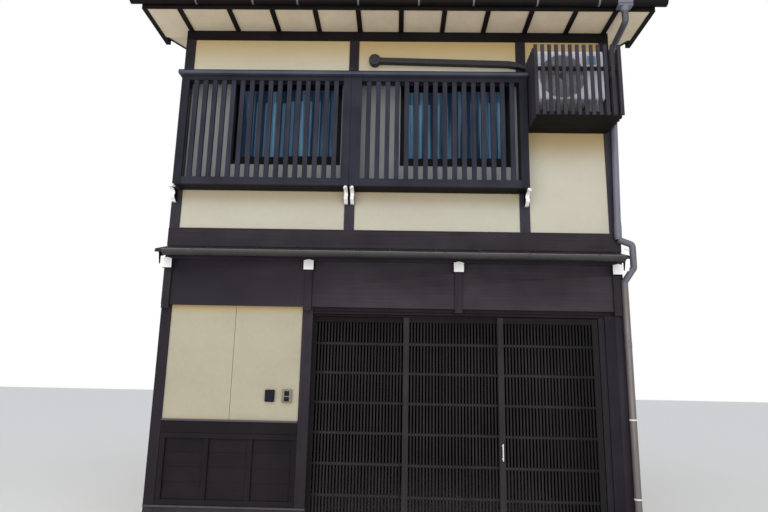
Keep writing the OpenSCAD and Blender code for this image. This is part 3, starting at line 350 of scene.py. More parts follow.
# The leaves' thin bars darken towards their tops, and the outer leaves towards their outer ends, as painted
# shade
LEAF_BARS = stained_cedar("leaf_bar_cedar", 2, "#1f1b1c", "#2e2a2b", "#332f2f",
                          (2, 1.8, 2.25, "#161414", 0.6))
LEFT_LEAF = cedar_set("left_leaf_cedar", "#231f20", "#343032", "#3a3636", (0, -0.66, -0.71, "#161414", 0.85))
RIGHT_LEAF = cedar_set("right_leaf_cedar", "#231f20", "#343032", "#3a3636", (0, 1.55, 1.9, "#161414", 0.85))
RIGHT_BARS = stained_cedar("right_leaf_bar_cedar", 2, "#1f1b1c", "#2e2a2b", "#332f2f",
                           (2, 1.8, 2.25, "#161414", 0.75), (0, 1.55, 1.9, "#161414", 0.85))
EAVES_TIMBER = cedar_set("eaves_cedar", "#0d0a0a", "#1d1717", "#1d1717")
FLOOR_TIMBER = stained_cedar("floor_cedar_deep", 1, "#5f4e3a", "#7d6a50", "#6b5b47")
# Colours of painted shade on the plaster: warm just under timber, grey behind the lattice boxes
WARM_SHADE, GREY_SHADE, BOARD_WARM_SHADE = "#a88e5a", "#8f949e", "#a8894a"
UPPER_PLASTER = lime_plaster("cream_lime_plaster", "#b8b2a1", "#c1bcaa", "#2c2927", (
    (WARM_SHADE, -3.0, 1.4, 3.325, 3.545, 0.5, 0.2),        # under the lattice boxes
    (WARM_SHADE, 1.4, 3.0, 3.78, 4.226, 0.9, 0.43),         # under the unit's cage
    (WARM_SHADE, -3.0, -0.455, 4.815, 5.295, 0.8, 0.46),    # under the eaves
    (WARM_SHADE, -0.455, 3.0, 4.795, 5.295, 0.95, 0.46),
    (GREY_SHADE, -2.26, 1.385, 3.53, 4.78, 0.62, 0.01)))    # behind the lattice boxes
GROUND_BOARD = lime_plaster("cream_painted_board", "#a39c86", "#ada690", "#2c2927",
                            ((BOARD_WARM_SHADE, -3.0, 3.0, 2.21, 2.33, 0.7, 0.1),), grain=8.0)
SOFFIT_BOARD = painted("cream_eaves_board", "#e1d1b7", "#cfbfa5", 0.75, 300.0)
MORTAR = cement_mortar("floated_cement_mortar", "#1d1b1d", "#2b282b", "#1a181a")
CONCRETE = cement_mortar("trowelled_concrete", "#7b7771", "#938e86", "#6a665f")
PARTY_PLASTER = party_plaster_coat("sprayed_resin_plaster", "#b9b1a1", "#cac3b3", "#2c2927", "#8d867a")
# Zinc coated steel sheet, baked enamel: smooth, half gloss, chalky where the weather has been at it
DRIP_METAL = painted("enamelled_steel_drip", "#312e33", "#403c41", 0.45)
# The eaves gutter is near black as painted shade, seen from below; the canopy gutter is lighter as painted
# light
SHADED_GUTTER_METAL = painted("enamelled_steel_gutter_painted_shade", "#0c0909", "#171212", 0.55, relief=0.3, specular=0.12)
LIT_CANOPY_METAL = painted("enamelled_steel_canopy_gutter_painted_light", "#252222", "#353231", 0.5, relief=0.3)
# The gutters' rolled edges are pale grey as a painted highlight
BEAD_HIGHLIGHT = painted("gutter_bead_painted_highlight", "#6c6e6d", "#8e9092", 0.4, 90.0)
ROOF_METAL = painted("enamelled_steel_roof", "#333134", "#474445", 0.42, 700.0, relief=0.5)
HANGER_METAL = painted("weathered_hanger", "#59585a", "#6c6b6d", 0.5, 60.0)
# Bare rolled steel, polished by the leaves' wheels: bright where they run, duller in patches beside
RAIL_STEEL = painted("polished_track_steel", "#8b8b8e", "#6d6c6e", 0.3, 60.0, metallic=1.0)
# Cast zinc, painted: smooth and half gloss
STATION_TRIM = painted("olive_cast_trim", "#767260", "#656252", 0.42, 40.0)
# Oil paint on end grain: thick, slightly yellowed, with a breath of soot
WHITE_PAINT = painted("white_oil_paint", "#fbfaf9", "#f3f1ee", 0.5, 60.0, relief=0.4)
# Moulded plastics: even colour, soft shine, a fine moulded grain on the dark box
WHITE_PLASTIC = painted("white_moulded_plastic", "#e6e3df", "#d2cec8", 0.35, 60.0)
BOX_PLASTIC = painted("dark_abs_box", "#14141b", "#1d1c25", 0.6, 30.0, relief=0.2, specular=0.12)
LABEL_FILM = painted("bare_blue_label", "#5b8ea6", "#7aa7bb", 0.35, 40.0)
DUCT_PLASTIC = painted("duct_vinyl", "#15151a", "#212127", 0.45, 120.0, specular=0.3)
# Aluminium, extruded and anodised black: dull, fine and even
WINDOW_ALLOY = painted("black_anodised_alloy", "#090a0f", "#11121a", 0.4, 90.0, specular=0.1)
# Powder enamel on pressed steel, with plastic and wire behind it: clean, half gloss
UNIT_ENAMEL = painted("unit_powder_enamel", "#e6e6f0", "#d4d3df", 0.42, 200.0)
UNIT_GRILLE = painted("unit_fan_wire", "#b4b3b9", "#98979d", 0.5, 50.0)
UNIT_DARK = painted("unit_fan_plastic", "#36363a", "#45454a", 0.55, 80.0)
UNIT_BLADE = painted("unit_fan_blade", "#66656b", "#56555a", 0.5, 80.0)
# Vinyl pipe, extruded: each length faded by the weather in its own way, browner near the ground; the top
# length is darker as painted shade under the eaves
PIPE_UPPER = painted("upper_pipe_vinyl", "#6a6a78", "#5c5b66", 0.32, 240.0)
PIPE_TOP_SHADE = painted("top_pipe_vinyl_painted_shade", "#43434c", "#37373f", 0.32, 240.0)
PIPE_JOG = painted("jog_pipe_vinyl", "#62606b", "#524f56", 0.32, 240.0)
PIPE_LOWER = painted("lower_pipe_vinyl", "#6b6261", "#5d5452", 0.34, 240.0)
# The light blue streaks of the glass are partly a curtain's pleats and partly painted reflection of the sky
GLASS = window_pane("blue_float_glass", "#293d55", "#6f9cb8", "#86bfe4")


# ---- Making pieces ----

def tone_of(point):
    """A number from -1 to 1 that looks random and is always the same for a place, so that every board has
    its own depth of colour."""
    mixed = math.sin(point.x * 127.1 + point.y * 311.7 + point.z * 74.7) * 43758.5453
    return 2.0 * (mixed - math.floor(mixed)) - 1.0


def tone_layer(bm):
    return bm.faces.layers.float.get("tone") or bm.faces.layers.float.new("tone")


def mark(bm, faces, slot, centre):
    """Gives faces their material slot and their board's tone."""
    layer = tone_layer(bm)
    tone = tone_of(centre)
    for face in faces:
        face.material_index = slot
        face[layer] = tone


def once(found):
    """What was found, each once and always in the same order."""
    return list(dict.fromkeys(found))


def ease_edges(bm, edges, width, segments=1):
    bmesh.ops.bevel(bm, geom=edges, offset=width * MM, offset_type="OFFSET", segments=segments, profile=0.5,
                    affect="EDGES", material=-1, clamp_overlap=True)


def board(bm, low, high, ease=2.0, slot=None, turn=None, segments=1):
    """A timber, sheet or block between two corners with its edges eased. Without a slot, it takes the
    material whose grain runs along its longest side. turn is a matrix that puts it in its place."""
    tone_layer(bm)
    low, high = Vector(low) * MM, Vector(high) * MM
    size = high - low
    if slot is None:
        slot = max(range(3), key=lambda i: size[i])
    place = Matrix.Translation((low + high) / 2) @ Matrix.Diagonal((*size, 1.0))
    place = turn @ place if turn else place
    verts = bmesh.ops.create_cube(bm, size=1.0, matrix=place)["verts"]
    mark(bm, once(f for v in verts for f in v.link_faces), slot, place.translation)
    if ease:
        ease_edges(bm, once(e for v in verts for e in v.link_edges), ease, segments)


def along(foot, top, at):
    """Matrix that stands an upright shape at a point, turned to run from foot to top."""
    return Matrix.Translation(at) @ (top - foot).to_track_quat("Z", "Y").to_matrix().to_4x4()


def rod(bm, foot, top, radius, slot=0, segments=24, ease=0.0, end_radius=None):
    """A round bar, or a cone where end_radius differs, from foot to top."""
    tone_layer(bm)
    foot, top = Vector(foot) * MM, Vector(top) * MM
    middle = (foot + top) / 2
    end_radius = radius if end_radius is None else end_radius
    verts = bmesh.ops.create_cone(bm, cap_ends=True, segments=segments, radius1=radius * MM,
                                  radius2=end_radius * MM, depth=(top - foot).length,
                                  matrix=along(foot, top, middle))["verts"]
    mark(bm, once(f for v in verts for f in v.link_faces), slot, middle)
    if ease:
        edges = once(e for v in verts for e in v.link_edges)
        ease_edges(bm, [e for e in edges if e.calc_face_angle(0.0) > math.radians(60)], ease, 2)


def swept(bm, low, high, centre, axis, degrees, steps, slot=0):
    """A level rectangle between two corners, turned about an axis through centre into a solid."""
    tone_layer(bm)
    others = set(bm.faces)
    low, high, centre = (Vector(v) * MM for v in (low, high, centre))
    middle, size = (low + high) / 2, high - low
    place = Matrix.Translation(middle) @ Matrix.Diagonal((size.x, size.y, 1.0, 1.0))
    corners = bmesh.ops.create_grid(bm, x_segments=1, y_segments=1, size=0.5, matrix=place)["verts"]
    face = corners[0].link_faces[0]
    full = degrees >= 360
    bmesh.ops.spin(bm, geom=list(face.edges) if full else [face], cent=centre, axis=axis,
                   angle=math.radians(degrees), steps=steps, use_merge=full)
    if full:
        bmesh.ops.delete(bm, geom=[face], context="FACES_ONLY")
    # Corners that lie on the axis fall together
    verts = once(v for f in bm.faces if f not in others for v in f.verts)
    bmesh.ops.remove_doubles(bm, verts=verts, dist=0.00001)
    close_up(bm, others, slot, middle)


def close_up(bm, others, slot, centre):
    """Turns a new solid's faces outwards and marks them; others are the faces that were there before."""
    faces = [face for face in bm.faces if face not in others]
    bmesh.ops.recalc_face_normals(bm, faces=faces)
    mark(bm, faces, slot, centre)


def pipe(bm, points, radius, bend, slot=0, segments=24):
    """A round pipe along points, with a swept elbow of radius bend at each corner and both ends closed."""
    tone_layer(bm)
    others = set(bm.faces)
    points = [Vector(p) * MM for p in points]
    here = points[0]
    ring = bmesh.ops.create_circle(bm, cap_ends=True, radius=radius * MM, segments=segments,
                                   matrix=along(here, points[1], here))["verts"]
    rim = list(ring[0].link_faces[0].edges)
    for corner, after in zip(points[1:], points[2:] + [None]):
        ahead = (corner - here).normalized()
        reach = 0.0
        if after:
            onward = (after - corner).normalized()
            angle = ahead.angle(onward)
            reach = bend * MM * math.tan(angle / 2)
        stop = corner - ahead * reach
        grown = bmesh.ops.extrude_edge_only(bm, edges=rim)["geom"]
        verts = [g for g in grown if isinstance(g, bmesh.types.BMVert)]
        bmesh.ops.translate(bm, verts=verts, vec=stop - here)
        rim = [e for e in once(e for v in verts for e in v.link_edges) if all(v in verts for v in e.verts)]
        if after:
            axis = ahead.cross(onward).normalized()
            centre = stop + axis.cross(ahead) * bend * MM
            spun = bmesh.ops.spin(bm, geom=rim, cent=centre, axis=axis, angle=angle, steps=6)["geom_last"]
            rim = [g for g in spun if isinstance(g, bmesh.types.BMEdge)]
            here = corner + onward * reach
    bmesh.ops.contextual_create(bm, geom=rim)
    close_up(bm, others, slot, points[0])


def finish(name, bm, materials, body="house", stands_for=()):
    """Turns a bmesh into a piece that rides on its body."""
    mesh = bpy.data.meshes.new(name)
    bm.normal_update()
    bm.to_mesh(mesh)
    bm.free()
    for material in materials:
        mesh.materials.append(material)
    mesh.shade_smooth()
    mesh.set_sharp_from_angle(angle=math.radians(32))
    piece = bpy.data.objects.new(name, mesh)
    bpy.context.scene.collection.objects.link(piece)
    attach(piece, body)
    if stands_for:
        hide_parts(*stands_for)


def whole_solid(face):
    """All the faces of the solid that a face belongs to."""
    found, to_follow = {face}, [face]
    while to_follow:
        near = {f for v in to_follow.pop().verts for f in v.link_faces} - found
        found |= near
        to_follow += near
    return found


def eased(node, ease, materials, segments=1, side_material=None):
    """A CAD node of the house with its edges eased. Three materials are its grain along X, Y and Z; a
    side_material goes on the faces that look along X."""
    bm = bmesh.new()
    bm.from_mesh(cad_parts[node].data)
    tone_layer(bm)
    bmesh.ops.remove_doubles(bm, verts=bm.verts, dist=0.00002)
    bmesh.ops.dissolve_limit(bm, angle_limit=math.radians(0.5), verts=bm.verts, edges=bm.edges)
    done = set()
    for face in list(bm.faces):
        if face in done:
            continue
        solid = whole_solid(face)
        done |= solid
        corners = [v.co for f in solid for v in f.verts]
        low = Vector([min(c[i] for c in corners) for i in range(3)])
        high = Vector([max(c[i] for c in corners) for i in range(3)])
        grain = max(range(3), key=lambda i: high[i] - low[i]) if len(materials) == 3 else 0
        mark(bm, solid, grain, (low + high) / 2)
    if side_material:
        for face in bm.faces:
            if abs(face.normal.x) > 0.9:
                face.material_index = len(materials)
        materials = materials + [side_material]
    sharp = [e for e in bm.edges if e.is_manifold and e.calc_face_angle(0.0) > math.radians(28)]
    ease_edges(bm, sharp, ease, segments)
    finish(node + "_eased", bm, materials, stands_for=(node,))


def corners_of(node):
    """A node's lowest and highest corners in millimetres."""
    low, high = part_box(node)
    return low / MM, high / MM


# ---- Timber frame ----

# Where the photo's straight edges put the camera
look_from((0.055, -9.6685, 1.604), 1.329, 11.737, 1.154, 597.0)
soft_sky()
# A high softbox for the open sky and a low one for the light that comes back level
softbox(18.0, 7.0, (-1.0, -13.0, 9.8), 34.0, 450.0)
softbox(16.0, 4.0, (-1.0, -14.0, 2.3), 0.0, 520.0)

for node, ease, slot, materials in (
        ("ground_posts", 3.0, "stained_timber", [POST_TIMBER]),
        ("curtain_battens", 3.0, "stained_timber", TIMBER),
        ("canopy_arms", 3.0, "stained_timber", TIMBER),
        ("sill_beam", 4.0, "stained_timber", TIMBER),
        ("door_jamb", 2.0, "stained_timber", JAMB_TIMBER),
        ("curtain_board", 2.0, "stained_timber", CURTAIN_TIMBER),
        # The garage lintel and the head track take the darkest cedar as painted shade under the curtain board
        ("garage_lintel", 2.0, "stained_timber", DEEP_STAIN_AND_SHADE),
        ("upper_posts", 3.0, "stained_timber", [UPPER_POST]),
        ("head_track", 1.0, "dark_timber", DEEP_STAIN_AND_SHADE),
        ("canopy_boards", 2.0, "dark_timber", LEAF_TIMBER),
        ("wall_plate", 3.0, "dark_timber", EAVES_TIMBER),
        ("eaves_frame", 2.0, "dark_timber", EAVES_TIMBER),
        ("verge_boards", 3.0, "dark_timber", EAVES_TIMBER),
        ("white_ends", 1.5, "white_paint", [WHITE_PAINT])):
    eased(node, ease, materials)
eased("scroll_brackets", 1.2, [WHITE_PAINT], side_material=EAVES_TIMBER[1])
eased("plinth", 6.0, [MORTAR], segments=2)
eased("ridge_cap", 4.0, [ROOF_METAL])
eased("duct_cover", 14.0, [DUCT_PLASTIC], segments=4)


# ---- Wainscot: frame, level boards lapped like clapboard, rail ----

BOARD_JOINTS = (456.0, 615.0, 751.0, 888.0, 1016.0)


def wainscot_bay(bm, x0, x1, panels, side):
    """One bay between posts, with side 1 at the front and -1 at the rear."""
    turn = facing(side)
    x0, x1 = (x0, x1) if side > 0 else (-x1, -x0)
    foot, top = WAINSCOT
    bar, face, back = 52.0, out(-6.0), out(-105.0)
    board_face, board_t, lap, tilt = out(-26.0), 14.0, 6.0, -1.7
    width = (x1 - x0 - bar * (panels + 1)) / panels
    for z in (foot, top - bar):
        board(bm, (x0, face, z), (x1, back, z + bar), 2.5, turn=turn)
    for i in range(panels + 1):
        x = x0 + i * (width + bar)
        board(bm, (x, face, foot + bar), (x + bar, back, top - bar), 2.5, turn=turn)
    for i in range(panels):
        x = x0 + bar + i * (width + bar)
        for low, high in zip(BOARD_JOINTS, BOARD_JOINTS[1:]):
            lean = Matrix.Rotation(math.radians(tilt), 4, "X")
            lean.translation = Vector((0.0, board_face, low)) * MM
            board(bm, (x, 0.0, 0.0), (x + width, board_t, high - low + lap), 1.5, turn=turn @ lean)
        board(bm, (x, out(-42.0), foot + bar), (x + width, back, top - bar), 0.0, turn=turn)
    board(bm, (x0, FRONT, top), (x1, back, RAIL_TOP), 3.0, turn=turn)


bm = bmesh.new()
wainscot_bay(bm, -2222.5, -890.5, 3, 1)
for i, panels in ((0, 4), (1, 4), (2, 2)):
    wainscot_bay(bm, POSTS[i] + POST_W / 2, POSTS[i + 1] - POST_W / 2, panels, -1)
finish("wainscot_boards", bm, DEEP_STAIN_AND_SHADE, stands_for=("wainscot",))

# Folded edges of the drips on the plinth and on the panel rails: (from x, to x, top)
FRONT_DRIPS = ((-2327.5, -785.5, PLINTH_TOP), (2120.5, 2327.5, PLINTH_TOP), (-2222.5, -890.5, RAIL_TOP))
REAR_DRIPS = ((-2327.5, 2327.5, PLINTH_TOP), (-2222.5, -1417.5, RAIL_TOP), (-1312.5, 402.5, RAIL_TOP),
              (507.5, 2222.5, RAIL_TOP))
bm = bmesh.new()
for side, drips in ((1, FRONT_DRIPS), (-1, REAR_DRIPS)):
    for x0, x1, top in drips:
        board(bm, (x0, out(8.0), top - 13.0), (x1, out(6.5), top), 0.5, 0, facing(side))
finish("drip_edges", bm, [DRIP_METAL])


# ---- Sliding lattice leaves ----

def lattice_leaf(name, body, timber, bar_timber):
    """A leaf's stiles and rails, with its thin upright bars in front of the rails between them."""
    (x0, y0, z0), (x1, y1, z1) = corners_of(name)
    stile, foot, bars, bar_w, rail_h, pitch = 60.0, 137.0, 27, 16.0, 24.0, 290.0
    thin_bar, shaded_head_rail = 3, 4             # slots
    bm = bmesh.new()
    for x in (x0, x1 - stile):
        board(bm, (x, y0, z0), (x + stile, y1, z1), 2.5)
    board(bm, (x0 + stile, y0, z0), (x1 - stile, y1, z0 + foot), 2.5)
    # The top rail takes the near black cedar as painted shade under the lintel
    board(bm, (x0 + stile, y0, z1 - stile), (x1 - stile, y1, z1), 2.5, shaded_head_rail)
    gap = (x1 - x0 - 2 * stile - bars * bar_w) / (bars + 1)
    for i in range(bars):
        x = x0 + stile + gap + i * (gap + bar_w)
        board(bm, (x, y0 + 1.0, z0 + foot), (x + bar_w, y0 + 15.0, z1 - stile), 1.5, thin_bar)
    for i in range(1, 7):
        z = z1 - i * pitch
        board(bm, (x0 + stile, y0 + 5.0, z), (x1 - stile, y1 - 1.0, z + rail_h), 1.5)
    finish(name + "_joinery", bm, timber + [bar_timber, EAVES_TIMBER[0]], body, (name,))


lattice_leaf("leaf_left", "left_leaf", LEFT_LEAF, LEAF_BARS)
lattice_leaf("leaf_middle", "middle_leaf", LEAF_TIMBER, LEAF_BARS)
lattice_leaf("leaf_right", "right_leaf", RIGHT_LEAF, RIGHT_BARS)


# ---- Lattice boxes in front of the upper windows ----

BOX_OUT = 210.0


def lattice_box(name, x0, x1, left_stile, cap_left, cap_right, outer):
    """The CAD box with its rails, stiles and bars as separate timbers, and its cap's edge strip. outer is the
    side, 0 or 1, whose stile stands at the row's end."""
    stile, bars, bar_w, foot, head, thick = 84.0, 16, 48.0, 80.0, 58.0, 36.0
    upright, shaded, cap, outer_stile, shaded_head_rail = 2, 3, 4, 5, 6    # slots
    under_cap, strip_foot = BOX_TOP - 44.0, BOX_TOP - 10.0
    face, back = out(BOX_OUT), out(BOX_OUT - thick)
    start_x, end_x = x0 + left_stile, x1 - stile
    bm = bmesh.new()
    stiles = (upright, outer_stile) if outer else (outer_stile, upright)
    board(bm, (x0, face, BOX_FOOT), (start_x, back, under_cap), 3.0, stiles[0])
    board(bm, (end_x, face, BOX_FOOT), (x1, back, under_cap), 3.0, stiles[1])
    board(bm, (start_x, face, BOX_FOOT), (end_x, back, BOX_FOOT + foot), 3.0)
    # The head rail takes the darker cedar as painted shade under the cap
    board(bm, (start_x, face, under_cap - head), (end_x, back, under_cap), 3.0, shaded_head_rail)
    gap = (end_x - start_x - bars * bar_w) / (bars + 1)
    for i in range(bars):
        x = start_x + gap + i * (gap + bar_w)
        board(bm, (x, face + 4.0, BOX_FOOT + foot), (x + bar_w, back, under_cap - head), 2.5)
    # Ends of the box, and its floor
    middle = back + (FRONT - back - bar_w) / 2
    for x in (x0, x1 - thick):
        board(bm, (x, back + 0.5, BOX_FOOT), (x + thick, FRONT, BOX_FOOT + foot), 2.0)
        board(bm, (x, back + 0.5, under_cap - head), (x + thick, FRONT, under_cap), 2.0)
        board(bm, (x, middle, BOX_FOOT + foot), (x + thick, middle + bar_w, under_cap - head), 2.0)
    left, right = x0 + thick + 0.5, x1 - thick - 0.5
    # The floor takes the near black cedar as painted shade on the box's underside
    board(bm, (left, back + 0.5, BOX_FOOT), (right, FRONT, BOX_FOOT + 20.0), 1.0, shaded)
    left, right = x0 - cap_left, x1 + cap_right
    # The cap's face takes the lighter cedar as painted light from the sky
    board(bm, (left, out(BOX_OUT + 38.0), under_cap), (right, FRONT, strip_foot), 3.0, cap)
    board(bm, (left + 2.0, out(BOX_OUT + 34.0), strip_foot), (right - 2.0, FRONT, BOX_TOP), 2.0, shaded)
    materials = UPPER_TIMBER + [EAVES_TIMBER[0], LIT_CAP_TIMBER, OUTER_STILE, HEAD_RAIL_SHADE]
    finish(name + "_joinery", bm, materials, stands_for=(name,))


lattice_box("lattice_box_left", POSTS[0] + 18.0, POSTS[1] - 0.3, 84.0, 32.0, 0.0, 0)
lattice_box("lattice_box_right", POSTS[1] + 0.3, POSTS[2] + 14.0, 108.0, 0.0, 8.0, 1)
# White ends of the bars on which the boxes stand, over the scroll brackets
bm = bmesh.new()
for x in (-2253.0, -484.0, -418.0, 1368.0):
    near, far = out(BOX_OUT + 3.0), out(150.0)
    board(bm, (x - 12.0, near, BOX_FOOT - 20.0), (x + 12.0, far, BOX_FOOT - 0.5), 4.0, 0, segments=2)
finish("bracket_bar_ends", bm, [WHITE_PAINT])


# ---- Windows ----

WINDOW_W, WINDOW_H, WINDOW_FOOT, WINDOW_X = 1185.0, 950.0, 3825.0, 518.0
FRAME_FACE, SASH_STILE, SASH_TOP, SASH_FOOT, SASH_T = 42.0, 40.0, 44.0, 58.0, 28.0


def window(bm, x, side):
    """A frame with two sashes, one behind the other, with side 1 at the front and -1 at the rear."""
    turn = facing(side)
    x = x if side > 0 else -x - WINDOW_W
    y0, y1 = out(-7.0), out(-97.0)
    z0, z1 = WINDOW_FOOT, WINDOW_FOOT + WINDOW_H
    foot, top = z0 + FRAME_FACE, z1 - FRAME_FACE
    for z in (z0, top):
        board(bm, (x, y0, z), (x + WINDOW_W, y1, z + FRAME_FACE), 2.0, 0, turn)
    for left in (x, x + WINDOW_W - FRAME_FACE):
        board(bm, (left, y0, foot), (left + FRAME_FACE, y1, top), 2.0, 0, turn)
    sash_w = (WINDOW_W - 2 * FRAME_FACE + SASH_STILE) / 2
    for i in (0, 1):
        left = x + FRAME_FACE + i * (sash_w - SASH_STILE)
        right = left + sash_w - SASH_STILE
        near = y0 + 45.0 - i * SASH_T
        far = near + SASH_T - 1.0
        for stile in (left, right):
            board(bm, (stile, near, foot), (stile + SASH_STILE, far, top), 2.0, 0, turn)
        for low, high in ((foot, foot + SASH_FOOT), (top - SASH_TOP, top)):
            board(bm, (left + SASH_STILE, near + 2.0, low), (right, far, high), 2.0, 0, turn)


bm = bmesh.new()
for left_post in POSTS[:2]:
    for side in (1, -1):
        window(bm, left_post + WINDOW_X, side)
finish("window_sashes", bm, [WINDOW_ALLOY], stands_for=("window_frames",))


# ---- Outdoor unit and its cage ----

CAGE_X, CAGE_W, CAGE_FOOT, CAGE_H, CAGE_OUT = 1399.0, 872.0, 4206.0, 760.0, 465.0


def unit_cage():
    """Upright bars on three sides, with rails behind them and a floor of narrow boards."""
    bar_w, bar_t, bars, side_bars, floor_t, planks = 36.0, 18.0, 13, 5, 30.0, 7
    rail_z, rail_h, shaded = CAGE_FOOT + 487.0, 40.0, 3             # shaded is a slot
    x1, top = CAGE_X + CAGE_W, CAGE_FOOT + CAGE_H
    gap = 0.3
    pitch = (CAGE_W - bar_w) / (bars - 1)
    face, inner = out(CAGE_OUT), out(CAGE_OUT - bar_t)
    behind = inner + bar_t
    bm = bmesh.new()
    for i in range(bars):
        x = CAGE_X + i * pitch
        board(bm, (x, face, CAGE_FOOT), (x + bar_w, inner, top), 2.0)
    left, right = CAGE_X + bar_w + gap, x1 - bar_w - gap
    # The rails behind the bars take the near black cedar as painted shade
    for z in (CAGE_FOOT, rail_z):
        board(bm, (left, inner, z), (right, behind, z + rail_h), 2.0, shaded)
    for i in range(1, side_bars + 1):
        for x in (CAGE_X, x1 - bar_t):
            y = face + i * pitch
            board(bm, (x, y, CAGE_FOOT), (x + bar_t, y + bar_w, top), 2.0)
    for x in (CAGE_X + bar_t, x1 - 2 * bar_t):
        board(bm, (x, inner + gap, rail_z), (x + bar_t, FRONT, rail_z + rail_h), 2.0)
    # The floor planks take the near black cedar as painted shade on the cage's underside
    left, right = CAGE_X + bar_t + gap, x1 - bar_t - gap
    plank = (CAGE_OUT - 2 * bar_t) / planks
    for i in range(planks):
        y = behind + i * plank
        low, high = (left, y + 1.5, CAGE_FOOT), (right, y + plank - 1.5, CAGE_FOOT + floor_t)
        board(bm, low, high, 2.0, shaded)
    materials = CAGE_TIMBER + [EAVES_TIMBER[0]]
    finish("unit_cage_joinery", bm, materials, stands_for=("unit_cage",))


def outdoor_unit():
    """A pressed casing with a fan behind its wire guard, side slots, feet and a bare label."""
    x0, x1, z0, z1, foot = 1461.0, 2121.0, 4413.0, 4939.0, 4236.0
    face, back = out(380.0), out(100.0)
    fan_x, fan_z, fan_r = 1697.0, 4657.0, 230.0
    casing, wire, dark, blade, label = range(5)                     # slots
    bm = bmesh.new()
    board(bm, (x0, face, z0), (x1, back, z1), 12.0, casing, segments=3)
    for left, right in ((x0 + 8.0, fan_x + fan_r + 14.0), (fan_x + fan_r + 18.0, x1 - 8.0)):
        board(bm, (left, face - 2.0, z0 + 10.0), (right, face + 20.0, z1 - 24.0), 2.0, casing)
    rod(bm, (fan_x, face + 2.0, fan_z), (fan_x, face - 3.0, fan_z), fan_r, dark, 64)
    rod(bm, (fan_x, face - 3.0, fan_z), (fan_x, face - 9.0, fan_z), 34.0, dark, 32, ease=2.0)
    hub = Matrix.Translation(Vector((fan_x, face, fan_z)) * MM)
    twist = Matrix.Rotation(math.radians(2), 4, "X")
    for i in range(3):
        spin = hub @ Matrix.Rotation(math.radians(120 * i + 20), 4, "Y")
        board(bm, (20.0, -5.0, -70.0), (208.0, -3.5, 70.0), 0.6, blade, spin @ twist)
    for radius in range(42, 230, 11):
        near, far = (fan_x + radius - 2.2, face - 10.0, fan_z), (fan_x + radius + 2.2, face - 7.0, fan_z)
        swept(bm, near, far, (fan_x, face, fan_z), (0, 1, 0), 360, 48, wire)
    for i in range(12):
        spin = hub @ Matrix.Rotation(math.radians(30 * i), 4, "Y")
        board(bm, (30.0, -8.0, -2.0), (fan_r, -6.0, 2.0), 0.0, wire, spin)
    for x in (x0 + 79.0, x1 - 159.0):
        board(bm, (x, face + 20.0, foot), (x + 80.0, back - 20.0, z0), 3.0, blade)
    for i in range(13):
        z = z0 + 60.0 + i * 26.0
        board(bm, (x0 - 2.0, face + 60.0, z), (x0 + 4.0, back - 40.0, z + 9.0), 1.0, casing)
    board(bm, (1955.0, face - 3.0, 4788.0), (2045.0, face - 1.0, 4886.0), 0.5, label)
    materials = [UNIT_ENAMEL, UNIT_GRILLE, UNIT_DARK, UNIT_BLADE, LABEL_FILM]
    finish("outdoor_unit_casing", bm, materials, stands_for=("outdoor_unit",))


def unit_pipes():
    """The two wrapped pipes that come out of the duct and go behind the unit."""
    bm = bmesh.new()
    for z, p in ((4950.0, 34.0), (4932.0, 16.0)):
        behind = out(p + 30.0)
        route = ((CAGE_X - 20.0, out(p), z), (1500.0, out(p), z - 24.0), (1560.0, behind, 4800.0),
                 (1560.0, behind, 4700.0))
        pipe(bm, route, 9.0, 30.0, segments=16)
    finish("unit_pipes", bm, [DUCT_PLASTIC])


unit_cage()
outdoor_unit()
unit_pipes()


# ---- Gutters and rainwater pipe ----

GUTTER_R = 50.0
EAVES_GUTTER = (460.3, 5455.75)            # middle out of the face, brim's height
CANOPY_GUTTER = (420.3, 2791.0)
EAVES_HANGERS = (-2081.0, -1488.0, -1022.0, -392.0, 235.0, 798.0, 1451.0, 2080.0)
CANOPY_HANGERS = (-1900.0, -1100.0, -300.0, 500.0, 1300.0, 1950.0)


def gutter(bm, x0, x1, place, hangers, side=1):
    """Half round gutter with a rolled outer edge, stop ends and hangers, with side 1 at the front and -1 at
    the rear."""
    p, brim = place
    y, r, wall, bead, strap = out(p) * side, GUTTER_R, 2.5, 4.0, 9.0
    centre, level = (0.0, y, brim), (1, 0, 0)
    swept(bm, (x0 + 1, y + r - wall, brim), (x1 - 1, y + r, brim), centre, level, -180, 20)
    for x in (x0, x1 - wall):
        swept(bm, (x, y, brim), (x + wall, y + r - 0.4, brim), centre, level, -180, 20)
    edge = y + (bead - r) * side
    rod(bm, (x0, edge, brim - 1), (x1, edge, brim - 1), bead, 2, 12)
    for x in hangers:
        swept(bm, (x - strap, y + r, brim), (x + strap, y + r + 1.6, brim), centre, level, -180, 16, 1)
        board(bm, (x - strap, y - r, brim + 0.5), (x + strap, y + r, brim + 2.5), 0.5, 1)


bm = bmesh.new()
for side in (1, -1):
    gutter(bm, -2773.0, 2773.0, EAVES_GUTTER, EAVES_HANGERS, side)
finish("eaves_gutter_runs", bm, [SHADED_GUTTER_METAL, HANGER_METAL, BEAD_HIGHLIGHT],
       stands_for=("eaves_gutters",))
bm = bmesh.new()
gutter(bm, -2195.0, 2199.0, CANOPY_GUTTER, CANOPY_HANGERS)
# The canopy's hangers are as dark as its gutter
finish("canopy_gutter_run", bm, [LIT_CANOPY_METAL, LIT_CANOPY_METAL, BEAD_HIGHLIGHT],
       stands_for=("canopy_gutter",))

PIPE_Y = out(49.0)
PIPE_R = 33.0
PIPE_BEND = 40.0
HEAD_X, HEAD_Y = 2340.0, out(462.3)
PIPE_JOINT = (2330.0, PIPE_Y, 4795.0)
JOG_TOP = (2285.0, PIPE_Y, 3040.0)
JOG_FOOT = (2322.0, PIPE_Y, 2535.0)


